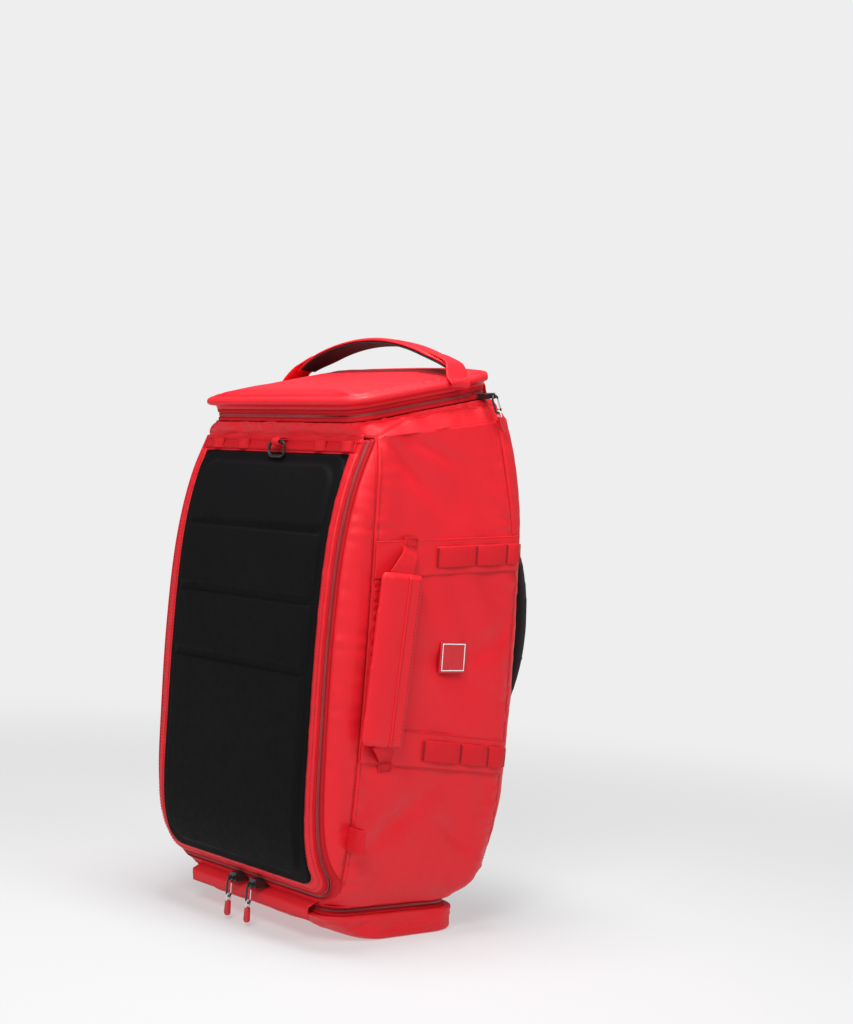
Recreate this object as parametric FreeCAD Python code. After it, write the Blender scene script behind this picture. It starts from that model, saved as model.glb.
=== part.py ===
import FreeCAD, Part
import functools
import math
import os

# A large ski boot bag worn as a backpack, in millimetres.
# +Z is up, +X is the wearer's right, -Y is the side with the moulded panel.
# The origin is on the flat sole of the base flap, on the bag's centre plane.

V = FreeCAD.Vector

# ---- Driving sizes -----------------------------------------------------------------------
# The sewn body is a stack of rounded sections. Each row: height at the front, front Y,
# height at the rear, rear Y, half width at the front, half width at the rear.
BODY_SECTIONS = [
    (46, -108, 42, 108, 150, 146),
    (72, -130, 66, 130, 164, 162),
    (110, -147, 100, 140, 172, 170),
    (160, -154, 150, 147, 177, 176),
    (245, -156, 240, 150, 180, 180),
    (335, -157, 335, 150, 181, 181),
    (425, -155, 430, 150, 180, 180),
    (490, -149, 510, 147, 178, 178),
    (545, -137, 575, 138, 177, 174),
    (594, -120, 640, 119, 174, 168),
]
COLLAR_TOP = (610, -126, 666, 96, 150, 156)  # rim of the mouth, under the lid
FRONT_CORNER = 28.0  # plan radius of the body's front corners
REAR_CORNER = 42.0  # plan radius of its rear corners
WALL = 5.0  # coated fabric, foam and lining together

SEAM_Y = -111.0  # seam between the front gusset and the side panels
REAR_SEAM_Y = 125.0  # seam between the side panels and the back
NECK_Z = 592.0  # crease where the front cover is hinged below the collar
COVER_BACK_Y = -112.0  # the cover takes in nothing behind this plane
DIVIDER_Z = 376.0  # underside of the padded shelf over the boots
DIVIDER_THICK = 8.0
BACK_CUTS_X = (-300.0, -138.0, 138.0, 300.0)  # joins between the pieces of the back panel
BACK_CUTS_Z = (0.0, 150.0, 480.0, 800.0)

# Front cover and its zip, as rectangles in the XZ plane: half width and lower edge.
COVER_CORNER = 34.0
PORT_HALF, PORT_LOW = 166.0, 54.0  # opening cut in the body
CHAIN_HALF, CHAIN_LOW = 161.4, 58.0  # line of the zip's teeth
CHAIN_GAP = 0.6  # between the two halves of every zip
BORDER_HALF, BORDER_LOW = 156.0, 62.5  # edge of the cover's fabric
PANEL_HALF, PANEL_LOW, PANEL_TOP = 144.0, 70.0, 574.0  # moulded panel
TAPE_DEPTH, TAPE_THICK = 1.5, 2.0  # zip tape lies this far below the fabric's face
BINDING_THICK = 3.0
FLANGE_THICK, PLATEAU_THICK = 4.0, 9.0  # moulded panel: rim and raised field
PLATEAU_INSET = 13.0
GROOVE_HEIGHTS = (319.0, 401.0, 484.0)
GROOVE_TALL, GROOVE_DEEP = 10.0, 3.2

# Lid, in its own sloping plane above the collar.
LID_BAND = 15.0  # height of the zip band between collar and lid
LID_RIM = 15.0  # height of the padded rim
LID_CROWN = 9.0  # rise of the padded top above the rim
LID_OVERHANG = 9.0
LID_REAR_OVERHANG = 2.0
BAND_INSET, BAND_THICK = 4.0, 3.0
LID_OPEN_GAP = 0.6

# Base flap under the bag.
SOLE_FRONT, SOLE_REAR = -46.0, 98.0  # flat part of the sole
BASE_HALF = 146.0
BASE_FRONT = -116.0
BASE_RIM_FRONT, BASE_RIM_REAR = 34.0, 29.0
BASE_BOARD_THICK = 3.0
BASE_SKIN = 3.0

# Handles and webbing.
HANDLE_SPAN, HANDLE_RISE = 300.0, 38.0
HANDLE_WIDE, HANDLE_FABRIC, HANDLE_LINING = 38.0, 4.0, 2.5
HANDLE_Y = 22.0
HANDLE_STAND = 17.0  # height of the handle's ends over the lid's rim
HANDLE_TAB = 8.0  # height of the tabs that hold it
HANDLE_NECK = 12.0  # width of the handle where it is sewn down
HANDLE_CLEAR = 3.4  # room for the handle to tilt on its anchors
GRIP_THICK, WEBBING_THICK = 13.0, 2.5
BAND_TALL = 44.0  # reinforcement bands across the sides
BAND_SKIN, LADDER_SKIN = 1.2, 1.8
LADDER_TALL, LADDER_FRONT = 26.0, -16.0
GRIP_OUTLINE = [(-124, 242), (-62, 238), (-49, 440), (-111, 444)]  # Y and Z of its corners
HEAD_OUTLINE = [(-96, 442), (-60, 440)]  # where the webbing enters the grip's upper end
FOOT_OUTLINE = [(-72, 241), (-108, 243)]  # and its lower end
TAIL_WIDE = 20.0  # webbing of a side handle where it is sewn down
LABEL_OUTLINE = [(1, 324), (43, 324), (43, 362), (1, 362)]
LABEL_THICK = 2.4
LOOP_REACH = 202.0  # how far the lash loops in the front seams stand out
SWING_GAP = 2.5  # between a side handle and its anchors, so that it can swing

# Zip pulls.
RING_WIRE, RING_LONG, RING_WIDE = 2.6, 25.0, 11.0
CORD_DIA = 2.0
TIP_LONG, TIP_WIDE, TIP_THICK = 19.0, 9.5, 5.0
RUN_GAP = 0.4  # clearance of a ring or cord loop round its bar
SLIDER_TALL = 11.0
LID_SLIDER_V = 196.0  # distance of the lid's slider from the front of the rim
LID_SLIDER_X, LID_PULL_X = 154.5, 177.0

# Back: pad, frame sheet and harness.
PAD_HALF, PAD_LOW, PAD_TOP, PAD_THICK = 118.0, 112.0, 596.0, 14.0
STRAP_WIDE, STRAP_THICK, STRAP_TOP, STRAP_LOW = 66.0, 12.0, 585.0, 235.0
STRAP_BOW = 34.0  # how far the straps stand off the pad
HARNESS_WEB = 25.0
STERNUM_Z = 430.0  # height of the chest strap
STRAP_FOOT_X = 84.0  # lower end of each strap, from the middle
SHEET_THICK = 2.0
FIT = 0.3  # clearance between pieces that only lie against each other

PARTS = "parts"


# ---- General helpers ---------------------------------------------------------------------
def save(name, *shapes):
    """Writes one named node made of separate closed solids."""
    solids = []
    for shape in shapes:
        solids.extend(shape.Solids)
    kept = [s for s in solids if s.Volume > 1.0]
    body = kept[0] if len(kept) == 1 else Part.makeCompound(kept)
    body.exportStep(os.path.join(PARTS, name + ".step"))
    print(f"{name}: {len(kept)} solid(s), {sum(s.Volume for s in kept) / 1000:.1f} cm3")


def rounded_polygon(points, radii, lift):
    """Closed wire through 2D points with every corner rounded; lift turns (u, v) into a 3D point."""
    edges = []
    ends = []
    count = len(points)
    for i, (corner, radius) in enumerate(zip(points, radii)):
        before = points[i - 1]
        after = points[(i + 1) % count]
        a = math.atan2(before[1] - corner[1], before[0] - corner[0])
        b = math.atan2(after[1] - corner[1], after[0] - corner[0])
        half = abs(math.atan2(math.sin(b - a), math.cos(b - a))) / 2
        reach = radius / math.tan(half)
        middle = math.atan2(math.sin(a) + math.sin(b), math.cos(a) + math.cos(b))
        centre_away = radius / math.sin(half)
        start = (corner[0] + reach * math.cos(a), corner[1] + reach * math.sin(a))
        stop = (corner[0] + reach * math.cos(b), corner[1] + reach * math.sin(b))
        apex = (
            corner[0] + (centre_away - radius) * math.cos(middle),
            corner[1] + (centre_away - radius) * math.sin(middle),
        )
        ends.append((start, apex, stop))
    for i, (start, apex, stop) in enumerate(ends):
        edges.append(Part.Arc(lift(*start), lift(*apex), lift(*stop)).toShape())
        following = ends[(i + 1) % count][0]
        if math.dist(stop, following) > 1e-6:
            edges.append(Part.makeLine(lift(*stop), lift(*following)))
    return Part.Wire(edges)


def prism_x(points, radii, x_low, x_high):
    """Rounded outline in the YZ plane, extruded along X."""
    wire = rounded_polygon(points, radii, lambda y, z: V(x_low, y, z))
    return Part.Face(wire).extrude(V(x_high - x_low, 0, 0))


def prism_y(points, radii, y_low, y_high):
    """Rounded outline in the XZ plane, extruded along Y."""
    wire = rounded_polygon(points, radii, lambda x, z: V(x, y_low, z))
    return Part.Face(wire).extrude(V(0, y_high - y_low, 0))


def block(x0, x1, y0, y1, z0, z1):
    return Part.makeBox(x1 - x0, y1 - y0, z1 - z0, V(x0, y0, z0))


def mirrored(shape):
    """The same piece on the bag's other side."""
    return shape.mirror(V(0, 0, 0), V(1, 0, 0))


# ---- Sewn body ---------------------------------------------------------------------------
def body_section(row, inset):
    """One rounded section of the body, drawn in from its outer face by the inset."""
    z_front, y_front, z_rear, y_rear, half_front, half_rear = row
    length = math.hypot(y_rear - y_front, z_rear - z_front)
    along = ((y_rear - y_front) / length, (z_rear - z_front) / length)

    def lift(u, v):
        return V(u, y_front + v * along[0], z_front + v * along[1])

    front = half_front - inset
    rear = half_rear - inset
    points = [(-front, inset), (front, inset), (rear, length - inset), (-rear, length - inset)]
    radii = [FRONT_CORNER - inset] * 2 + [REAR_CORNER - inset] * 2
    return rounded_polygon(points, radii, lift)


def beyond(row, towards, share):
    """A section extrapolated past the end of the stack."""
    return tuple(a + (a - b) * share for a, b in zip(row, towards))


@functools.lru_cache(maxsize=None)
def body_loft(inset):
    """Closed solid through all the sections and a little past both ends; a negative inset stands proud."""
    rows = [beyond(BODY_SECTIONS[0], BODY_SECTIONS[1], 0.25)]
    rows += BODY_SECTIONS
    rows.append(beyond(BODY_SECTIONS[-1], BODY_SECTIONS[-2], 0.4))
    return Part.makeLoft([body_section(r, inset) for r in rows], True, False)


@functools.lru_cache(maxsize=None)
def between_ends():
    """Everything between the planes of the first and the last section."""
    corners = []
    for row, ends in ((BODY_SECTIONS[0], (-400, 400)), (BODY_SECTIONS[-1], (400, -400))):
        z_front, y_front, z_rear, y_rear = row[:4]
        slope = (z_rear - z_front) / (y_rear - y_front)
        corners += [(y, z_front + slope * (y - y_front)) for y in ends]
    return prism_x(corners, [1.0] * 4, -400, 400)


@functools.lru_cache(maxsize=None)
def skin(outer, inner):
    """Layer of the body between two insets."""
    return body_loft(outer).cut(body_loft(inner)).common(between_ends())


def cover_outline(half, low, top, corner):
    """Cover-shaped prism: round lower corners, square top."""
    points = [(-half, low), (half, low), (half, top), (-half, top)]
    return prism_y(points, [corner, corner, 1.0, 1.0], -400, COVER_BACK_Y)


SIDE_OUTLINE = [
    (SEAM_Y, 70),
    (95, 48),
    (REAR_SEAM_Y, 150),
    (REAR_SEAM_Y, 540),
    (58, 670),
    (SEAM_Y, 670),
]
SIDE_RADII = [24, 30, 90, 70, 8, 8]


def side_prism(x_low, x_high):
    return prism_x(SIDE_OUTLINE, SIDE_RADII, x_low, x_high)


def slabs_y(*cuts):
    """Wide boxes between neighbouring Y values."""
    return [block(-300, 300, a, b, -50, 900) for a, b in zip(cuts, cuts[1:])]


def in_pieces(ring):
    """A ring round the bag as front, side and rear pieces."""
    return [ring.common(slab) for slab in slabs_y(-400, -80, 50, 400)]


def collar():
    """Short tapered neck between the body and the rim of the mouth."""
    rows = [BODY_SECTIONS[-1], COLLAR_TOP]
    wider = [beyond(rows[0], rows[1], 0.3), beyond(rows[1], rows[0], 0.3)]
    outside = Part.makeLoft([body_section(r, 0) for r in rows], True, True)
    inside = Part.makeLoft([body_section(r, WALL) for r in wider], True, True)
    save("collar", *in_pieces(outside.cut(inside)))


def sewn_body():
    shell = skin(0, WALL)
    right = shell.common(side_prism(20, 300))
    save("right_side_panel", right)
    save("left_side_panel", mirrored(right))

    rest = shell.cut(side_prism(20, 300)).cut(side_prism(-300, -20))
    front, bottom, back = [rest.common(slab) for slab in slabs_y(-400, -92, 84, 400)]
    gusset = front.cut(cover_outline(PORT_HALF, PORT_LOW, NECK_Z + 20, COVER_CORNER))
    cut_low = PORT_LOW + COVER_CORNER
    foot = gusset.common(block(-300, 300, -400, 0, 0, cut_low))
    uprights = [gusset.common(block(x, x + 300, -400, 0, cut_low, 700)) for x in (-300, 0)]
    save("front_gusset", *uprights, foot)
    save("bottom_panel", bottom)

    strips = [back.common(block(x0, x1, -400, 400, 0, 800)) for x0, x1 in zip(BACK_CUTS_X, BACK_CUTS_X[1:])]
    levels = list(zip(BACK_CUTS_Z, BACK_CUTS_Z[1:]))
    pieces = [s.common(block(-300, 300, -400, 400, low, high)) for s in strips for low, high in levels]
    save("back_panel", *pieces)


def divider():
    """Padded shelf that carries the helmet above the boots."""
    inside = body_loft(WALL + SHEET_THICK + FIT)
    slab = block(-300, 300, -400, 400, DIVIDER_Z, DIVIDER_Z + DIVIDER_THICK)
    save("padded_divider", inside.common(slab))


# ---- Front cover -------------------------------------------------------------------------
def front_cover():
    top = NECK_Z - CHAIN_GAP
    port = cover_outline(PORT_HALF, PORT_LOW, NECK_Z, COVER_CORNER)
    chain = cover_outline(CHAIN_HALF, CHAIN_LOW, NECK_Z, COVER_CORNER - 3)
    chain_in = cover_outline(CHAIN_HALF - CHAIN_GAP, CHAIN_LOW + CHAIN_GAP, top, COVER_CORNER - 3)
    border = cover_outline(BORDER_HALF, BORDER_LOW, top, COVER_CORNER - 6)
    tape_layer = skin(TAPE_DEPTH, TAPE_DEPTH + TAPE_THICK)
    save("front_zip_body_tape", tape_layer.common(port).cut(chain))
    save("front_zip_cover_tape", tape_layer.common(chain_in).cut(border))
    save("front_cover_fabric", skin(0, WALL).common(border))

    panel_corner = COVER_CORNER - 12
    panel = cover_outline(PANEL_HALF, PANEL_LOW, PANEL_TOP, panel_corner)
    binding = skin(-BINDING_THICK, 0).common(border).cut(panel)
    save("front_cover_binding", binding.cut(block(-300, 300, -400, 0, PANEL_TOP + 2, 700)))

    flange = skin(-FLANGE_THICK, 0).common(panel)
    field = cover_outline(
        PANEL_HALF - PLATEAU_INSET, PANEL_LOW + PLATEAU_INSET, PANEL_TOP - PLATEAU_INSET, panel_corner
    )
    raised = skin(-PLATEAU_THICK, -FLANGE_THICK + 0.5).common(field)
    floor_half = PANEL_HALF - PLATEAU_INSET - 1
    keep = body_loft(-PLATEAU_THICK + GROOVE_DEEP)
    for height in GROOVE_HEIGHTS:
        slot = block(-floor_half, floor_half, -400, 0, height - GROOVE_TALL / 2, height + GROOVE_TALL / 2)
        raised = raised.cut(slot.cut(keep))
    save("front_moulded_panel", flange.fuse(raised))


def daisy_strip():
    """Webbing strip under the collar with four raised loops."""
    low, high = PANEL_TOP + 2.5, NECK_Z - 2.0
    strip = skin(-1.6, 0).common(block(-148, 148, -400, -60, low, high))
    loops = []
    middle = (low + high) / 2
    y_face = -128.5
    for x in (-68, 84, 134, -122):
        ring = Part.makeCylinder(5.5, 11, V(x - 5.5, y_face - 3.5, middle), V(1, 0, 0))
        hole = Part.makeCylinder(3.8, 13, V(x - 6.5, y_face - 3.5, middle), V(1, 0, 0))
        loops.append(ring.cut(hole).cut(body_loft(-1.6)))
    save("cover_daisy_webbing", strip, *loops)


GEAR_PIVOT = V(14, -137.0, 586.0)
GEAR_WIDE, GEAR_TALL, GEAR_WIRE = 36.0, 22.0, 4.0
GEAR_TAB = 13.0  # width of the webbing that holds the hook


def racetrack(centre, long_axis, short_axis, long_size, short_size, wire):
    """Closed ring of round wire, straight along its long sides, measured over the wire."""
    half_width = (short_size - wire) / 2
    half_run = (long_size - wire) / 2 - half_width

    def point(a, b):
        return centre + long_axis * a + short_axis * b

    start, along = point(-half_run, half_width), point(half_run, half_width)
    back, end = point(half_run, -half_width), point(-half_run, -half_width)
    far_turn = Part.Arc(along, point(half_run + half_width, 0), back).toShape()
    near_turn = Part.Arc(end, point(-half_run - half_width, 0), start).toShape()
    path = Part.Wire([Part.makeLine(start, along), far_turn, Part.makeLine(back, end), near_turn])
    profile = Part.Wire([Part.makeCircle(wire / 2, start, long_axis)])
    return path.makePipeShell([profile], True, True)


def gear_hook():
    """Black hook on the cover's webbing strip: an open ring closed by a sprung arm."""
    across = V(1, 0, 0)
    down = V(0, 0, -1)
    centre = GEAR_PIVOT + down * ((GEAR_TALL - GEAR_WIRE) / 2)
    ring = racetrack(centre, across, down, GEAR_WIDE, GEAR_TALL, GEAR_WIRE)
    mouth = Part.makeBox(14, 12, 14, GEAR_PIVOT + V(10, -6, -16))
    arm = Part.makeCylinder(1.5, 12.8, GEAR_PIVOT + V(14, 0, -2.6), down)
    save("gear_hook_frame", ring.cut(mouth))
    save("gear_hook_arm", arm)
    x, y, z = GEAR_PIVOT
    half = GEAR_TAB / 2
    tab_ring = Part.makeCylinder(4.6, GEAR_TAB, V(x - half, y, z), across)
    tab_hole = Part.makeCylinder(GEAR_WIRE / 2 + RUN_GAP, GEAR_TAB + 2, V(x - half - 1, y, z), across)
    tail = block(x - half, x + half, y, -110, z - 1.2, z + 1.2)
    save("gear_hook_tab", tab_ring.fuse(tail).cut(tab_hole).cut(body_loft(-1.6)))


# ---- Lid ---------------------------------------------------------------------------------
TOP_ROW = COLLAR_TOP
LID_LENGTH = math.hypot(TOP_ROW[3] - TOP_ROW[1], TOP_ROW[2] - TOP_ROW[0])
LID_ALONG = V(0, (TOP_ROW[3] - TOP_ROW[1]) / LID_LENGTH, (TOP_ROW[2] - TOP_ROW[0]) / LID_LENGTH)
LID_NORMAL = V(1, 0, 0).cross(LID_ALONG)
LID_ORIGIN = V(0, TOP_ROW[1], TOP_ROW[0])


def lid_section(height, grow):
    """Section parallel to the collar's rim, at a height above it and grown outwards."""

    def lift(u, v):
        return LID_ORIGIN + V(1, 0, 0) * u + LID_ALONG * v + LID_NORMAL * height

    front = TOP_ROW[4] + grow
    rear = TOP_ROW[5] + grow
    back = LID_LENGTH + min(grow, LID_REAR_OVERHANG)
    points = [(-front, -grow), (front, -grow), (rear, back), (-rear, back)]
    radii = [max(12.0, FRONT_CORNER + grow)] * 2 + [max(12.0, REAR_CORNER + grow)] * 2
    return rounded_polygon(points, radii, lift)


def lid_band(low, high, outer_grow, thick):
    """Low upright wall that follows the rim of the mouth."""
    outside = Part.makeLoft([lid_section(low, outer_grow), lid_section(high, outer_grow)], True, True)
    inside = Part.makeLoft(
        [lid_section(low - 1, outer_grow - thick), lid_section(high + 1, outer_grow - thick)], True, True
    )
    return outside.cut(inside)


def lid():
    half_band = (LID_BAND - LID_OPEN_GAP) / 2
    save("lid_zip_collar_tape", *in_pieces(lid_band(0, half_band, -BAND_INSET, BAND_THICK)))
    save("lid_zip_lid_tape", *in_pieces(lid_band(LID_BAND - half_band, LID_BAND, -BAND_INSET, BAND_THICK)))
    save("lid_cover", lid_pad().cut(lid_core()))
    save("lid_foam", lid_core())


@functools.lru_cache(maxsize=None)
def lid_pad():
    """Padded lid: a bulging rim under a low crown."""
    top = LID_BAND + LID_RIM
    rim = [(LID_BAND, -4), (LID_BAND + LID_RIM / 2, 0), (top, -4)]
    crown = [(top, -4), (top + LID_CROWN * 0.6, -22), (top + LID_CROWN, -62)]
    lofts = []
    for rows, ruled in ((rim, False), (crown, True)):
        wires = [lid_section(height, LID_OVERHANG + grow) for height, grow in rows]
        lofts.append(Part.makeLoft(wires, True, ruled))
    return lofts[0].fuse(lofts[1])


@functools.lru_cache(maxsize=None)
def lid_core():
    """Foam inside the lid's rim."""
    rows = [(2.5, -9), (LID_RIM / 2, -6), (LID_RIM - 2.5, -9)]
    wires = [lid_section(LID_BAND + height, LID_OVERHANG + grow) for height, grow in rows]
    return Part.makeLoft(wires, True, False)


# ---- Top handle --------------------------------------------------------------------------
HANDLE_V = (HANDLE_Y - TOP_ROW[1]) / LID_ALONG.y  # the handle's place along the lid
HANDLE_BASE = LID_ORIGIN + LID_ALONG * HANDLE_V + LID_NORMAL * (LID_BAND + LID_RIM + HANDLE_STAND)


def arch(drop, thick):
    """Flat arch in the XZ plane, dropped below the handle's top face."""
    half = HANDLE_SPAN / 2
    high = HANDLE_BASE.z - drop
    low = high - thick
    top, under = [
        Part.Arc(V(-half, 0, z), V(0, 0, z + HANDLE_RISE), V(half, 0, z)).toShape() for z in (high, low)
    ]
    ends = [Part.makeLine(V(x, 0, high), V(x, 0, low)) for x in (half, -half)]
    return Part.Face(Part.Wire([top, ends[0], under, ends[1]]))


def handle_plan():
    """Handle seen from above: wide grip, narrower ends."""
    half = HANDLE_SPAN / 2
    wide = HANDLE_WIDE / 2
    narrow = HANDLE_NECK / 2
    points = [
        (-half - 5, -narrow), (-half + 45, -wide), (half - 45, -wide), (half + 5, -narrow),
        (half + 5, narrow), (half - 45, wide), (-half + 45, wide), (-half - 5, narrow),
    ]
    radii = [3, 40, 40, 3, 3, 40, 40, 3]
    wire = rounded_polygon(points, radii, lambda x, y: V(x, HANDLE_Y + y, 0))
    return Part.Face(wire).extrude(V(0, 0, 1200))


def top_handle():
    plan = handle_plan()
    for name, drop, thick in (
        ("top_handle_cover", 0, HANDLE_FABRIC),
        ("top_handle_lining", HANDLE_FABRIC, HANDLE_LINING),
    ):
        band = arch(drop, thick)
        band.translate(V(0, HANDLE_Y - 50, 0))
        save(name, band.extrude(V(0, 100, 0)).common(plan))
    anchor_top = HANDLE_BASE.z - HANDLE_FABRIC - HANDLE_LINING - HANDLE_CLEAR
    anchors = []
    for side in (-1, 1):
        middle = side * (HANDLE_SPAN / 2 - 6)
        low = anchor_top - HANDLE_TAB
        tab = block(middle - 13, middle + 13, HANDLE_Y - 17, HANDLE_Y + 17, low, anchor_top)
        anchors.append(tab.cut(lid_pad()))
    save("top_handle_anchors", *anchors)


# ---- Base flap ---------------------------------------------------------------------------
def base_profile(inset):
    """Side outline of the base flap: flat sole, rising front."""
    rear = SOLE_REAR + 12 - inset
    return [
        (SOLE_FRONT, inset),
        (rear, inset),
        (rear, BASE_RIM_REAR - inset),
        (BASE_FRONT + inset * 2, BASE_RIM_FRONT - inset),
    ]


def base_solid(inset):
    """Base flap drawn in from its outer faces by the inset."""
    half = BASE_HALF - inset
    rear = SOLE_REAR + 12 - inset
    side = prism_x(base_profile(inset), [56, 11 - inset, 5 - inset, 4 - inset], -half, half)
    plan_points = [(-half, BASE_FRONT - 20), (half, BASE_FRONT - 20), (half, rear), (-half, rear)]
    wire = rounded_polygon(plan_points, [30, 30, 44 - inset, 44 - inset], lambda x, y: V(x, y, -10))
    return side.common(Part.Face(wire).extrude(V(0, 0, 100)))


def base_flap():
    core = base_solid(BASE_SKIN)
    board_slab = block(-300, 300, SOLE_FRONT + 12, 300, BASE_SKIN, BASE_SKIN + BASE_BOARD_THICK)
    save("base_flap_cover", base_solid(0).cut(core))
    save("base_stiffener_board", core.common(board_slab))
    save("base_flap_foam", core.cut(board_slab))


def base_zip():
    """Two low walls between the flap's rim and the body's mouth."""
    z_front, y_front, z_rear, y_rear, half_front, half_rear = BODY_SECTIONS[0]

    def wire(share, inset):
        low = BASE_RIM_FRONT + (z_front - BASE_RIM_FRONT) * share
        high = BASE_RIM_REAR + (z_rear - BASE_RIM_REAR) * share
        return body_section((low, y_front + 2, high, y_rear - 8, half_front - 8, half_rear - 6), inset)

    for name, low, high in (("base_zip_flap_tape", 0.03, 0.48), ("base_zip_body_tape", 0.52, 0.99)):
        outside = Part.makeLoft([wire(low, 0), wire(high, 0)], True, True)
        inside = Part.makeLoft([wire(low - 0.2, BAND_THICK), wire(high + 0.2, BAND_THICK)], True, True)
        save(name, *in_pieces(outside.cut(inside).cut(base_solid(0))))


# ---- Sides -------------------------------------------------------------------------------
def band_polygon(front_z, rear_z, tall, y_from, y_to):
    """Strip across the side that fans a little towards the back."""
    slope = (rear_z - front_z) / (REAR_SEAM_Y - SEAM_Y)

    def at(y):
        return front_z + slope * (y - SEAM_Y)

    return [
        (y_from, at(y_from) - tall / 2), (y_to, at(y_to) - tall / 2),
        (y_to, at(y_to) + tall / 2), (y_from, at(y_from) + tall / 2),
    ]


BANDS = ((454.0, 472.5), (242.0, 218.5))  # centre heights at the front and rear seams


def side_bands():
    band_layer = skin(-BAND_SKIN, 0)
    ladder_layer = skin(-BAND_SKIN - LADDER_SKIN, -BAND_SKIN)
    bands, ladders = [], []
    for heights in BANDS:
        band = band_polygon(*heights, BAND_TALL, SEAM_Y + 1, REAR_SEAM_Y - 1)
        bands.append(band_layer.common(prism_x(band, [0.5] * 4, 60, 300)))
        ladder = band_polygon(*heights, LADDER_TALL, LADDER_FRONT, REAR_SEAM_Y - 2)
        ladders.append(ladder_layer.common(prism_x(ladder, [0.5] * 4, 60, 300)))
    save("side_bands", *bands, *[mirrored(b) for b in bands])
    save("ladder_webbing", *ladders, *[mirrored(b) for b in ladders])

    label = prism_x(LABEL_OUTLINE, [2.5] * 4, 60, 300)
    save("side_label_patch", skin(-LABEL_THICK, 0).common(label))


GRIP_X = 187.5
SWING_TOP = (-46.0, 470.0)  # side handle's swing line, as (Y, Z): along the grip's rear edge
SWING_FOOT = (-61.0, 222.0)


def side_handle():
    """Webbing with a wrapped grip; it swings about the line through its two sewn ends."""
    top_y, top_z = SWING_TOP
    foot_y, foot_z = SWING_FOOT
    tail_x0 = GRIP_X + 3
    tail_x1 = tail_x0 + WEBBING_THICK
    grip = prism_x(GRIP_OUTLINE, [5] * 4, GRIP_X, GRIP_X + GRIP_THICK)
    long_edges = [e for e in grip.Edges if e.BoundBox.XLength < 0.01 and e.Length > 40]
    grip = grip.makeFillet(4.0, long_edges)
    head = HEAD_OUTLINE + [(top_y - 1, top_z), (top_y - 1 - TAIL_WIDE, top_z)]
    foot = [(foot_y - 1 - TAIL_WIDE, foot_z), (foot_y - 1, foot_z)] + FOOT_OUTLINE
    tails = [prism_x(outline, [1] * 4, tail_x0, tail_x1).cut(grip) for outline in (head, foot)]
    save("right_handle_grip", grip)
    save("right_handle_webbing", *tails)
    save("left_handle_grip", mirrored(grip))
    save("left_handle_webbing", *[mirrored(t) for t in tails])

    anchors = []
    for y, z in ((top_y - 11, top_z + SWING_GAP), (foot_y - 11, foot_z - SWING_GAP - 9)):
        tab = block(160, tail_x1, y - 10, y + 10, z, z + 9)
        anchors.append(tab.cut(body_loft(-BAND_SKIN)))
    save("side_handle_anchors", *anchors, *[mirrored(a) for a in anchors])


def lash_loops():
    """Short folded webbing loop in each front seam, near the floor."""
    outer = block(150, LOOP_REACH, SEAM_Y - 4, SEAM_Y + 4, 118, 148)
    hole = block(150, LOOP_REACH - 1.6, SEAM_Y - 2.4, SEAM_Y + 2.4, 110, 160)
    loop = outer.cut(hole).cut(body_loft(0))
    save("side_lash_loops", loop, mirrored(loop))


# ---- Zip sliders and pulls ---------------------------------------------------------------
def eyelet(centre, axis):
    """Small closed ring round a pull's bar."""
    radius = RING_WIRE / 2 + RUN_GAP + 0.9
    return Part.makeTorus(radius, 0.9, centre, axis)


def pull(name, bar, along, down):
    """Snap ring, wire gate, cord loop and rubber tip, hanging from its top bar."""
    side = along
    ring_centre = bar + down * ((RING_LONG - RING_WIRE) / 2)
    ring = racetrack(ring_centre, down, side, RING_LONG, RING_WIDE, RING_WIRE)
    half = (RING_WIDE - RING_WIRE) / 2
    gate_low = bar + down * 17.5 + side * half
    gate_long = 12.0
    front = down.cross(side)
    mouth = Part.makeCylinder(RING_WIRE * 0.7, gate_long + 1.2, gate_low + down * 0.6, down * -1)
    save(name + "_ring", ring.cut(mouth))
    gate = Part.makeCylinder(0.8, gate_long, gate_low, down * -1)
    save(name + "_gate", gate)

    bar_low = bar + down * (RING_LONG - RING_WIRE)
    loop_inner = RING_WIRE / 2 + RUN_GAP
    loop_wide = 2 * (loop_inner + CORD_DIA)
    loop_long = loop_wide + 3.0
    loop_centre = bar_low + down * 1.5
    loop = racetrack(loop_centre, down, front, loop_long, loop_wide, CORD_DIA)
    tip_top = bar_low + down * (1.5 + loop_long / 2 - CORD_DIA - 0.2)

    def lift(u, v):
        return tip_top + side * u + down * v - front * (TIP_THICK / 2)

    half_top = TIP_WIDE * 0.36
    half_low = TIP_WIDE / 2
    outline = rounded_polygon(
        [(-half_top, 0), (half_top, 0), (half_low, TIP_LONG), (-half_low, TIP_LONG)],
        [2.4, 2.4, 4.2, 4.2],
        lift,
    )
    tip = Part.Face(outline).extrude(front * TIP_THICK)
    rims = [e for e in tip.Edges if e.Length > 3 and abs(e.tangentAt(e.FirstParameter).dot(front)) < 0.1]
    tip = tip.makeFillet(1.4, rims)
    save(name + "_cord", loop.cut(tip))
    save(name + "_tip", tip)


FRONT_PULL_Y = -136.0
FRONT_PULL_Z = 51.0
FRONT_SLIDER_X = (-16.0, 24.0)


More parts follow.
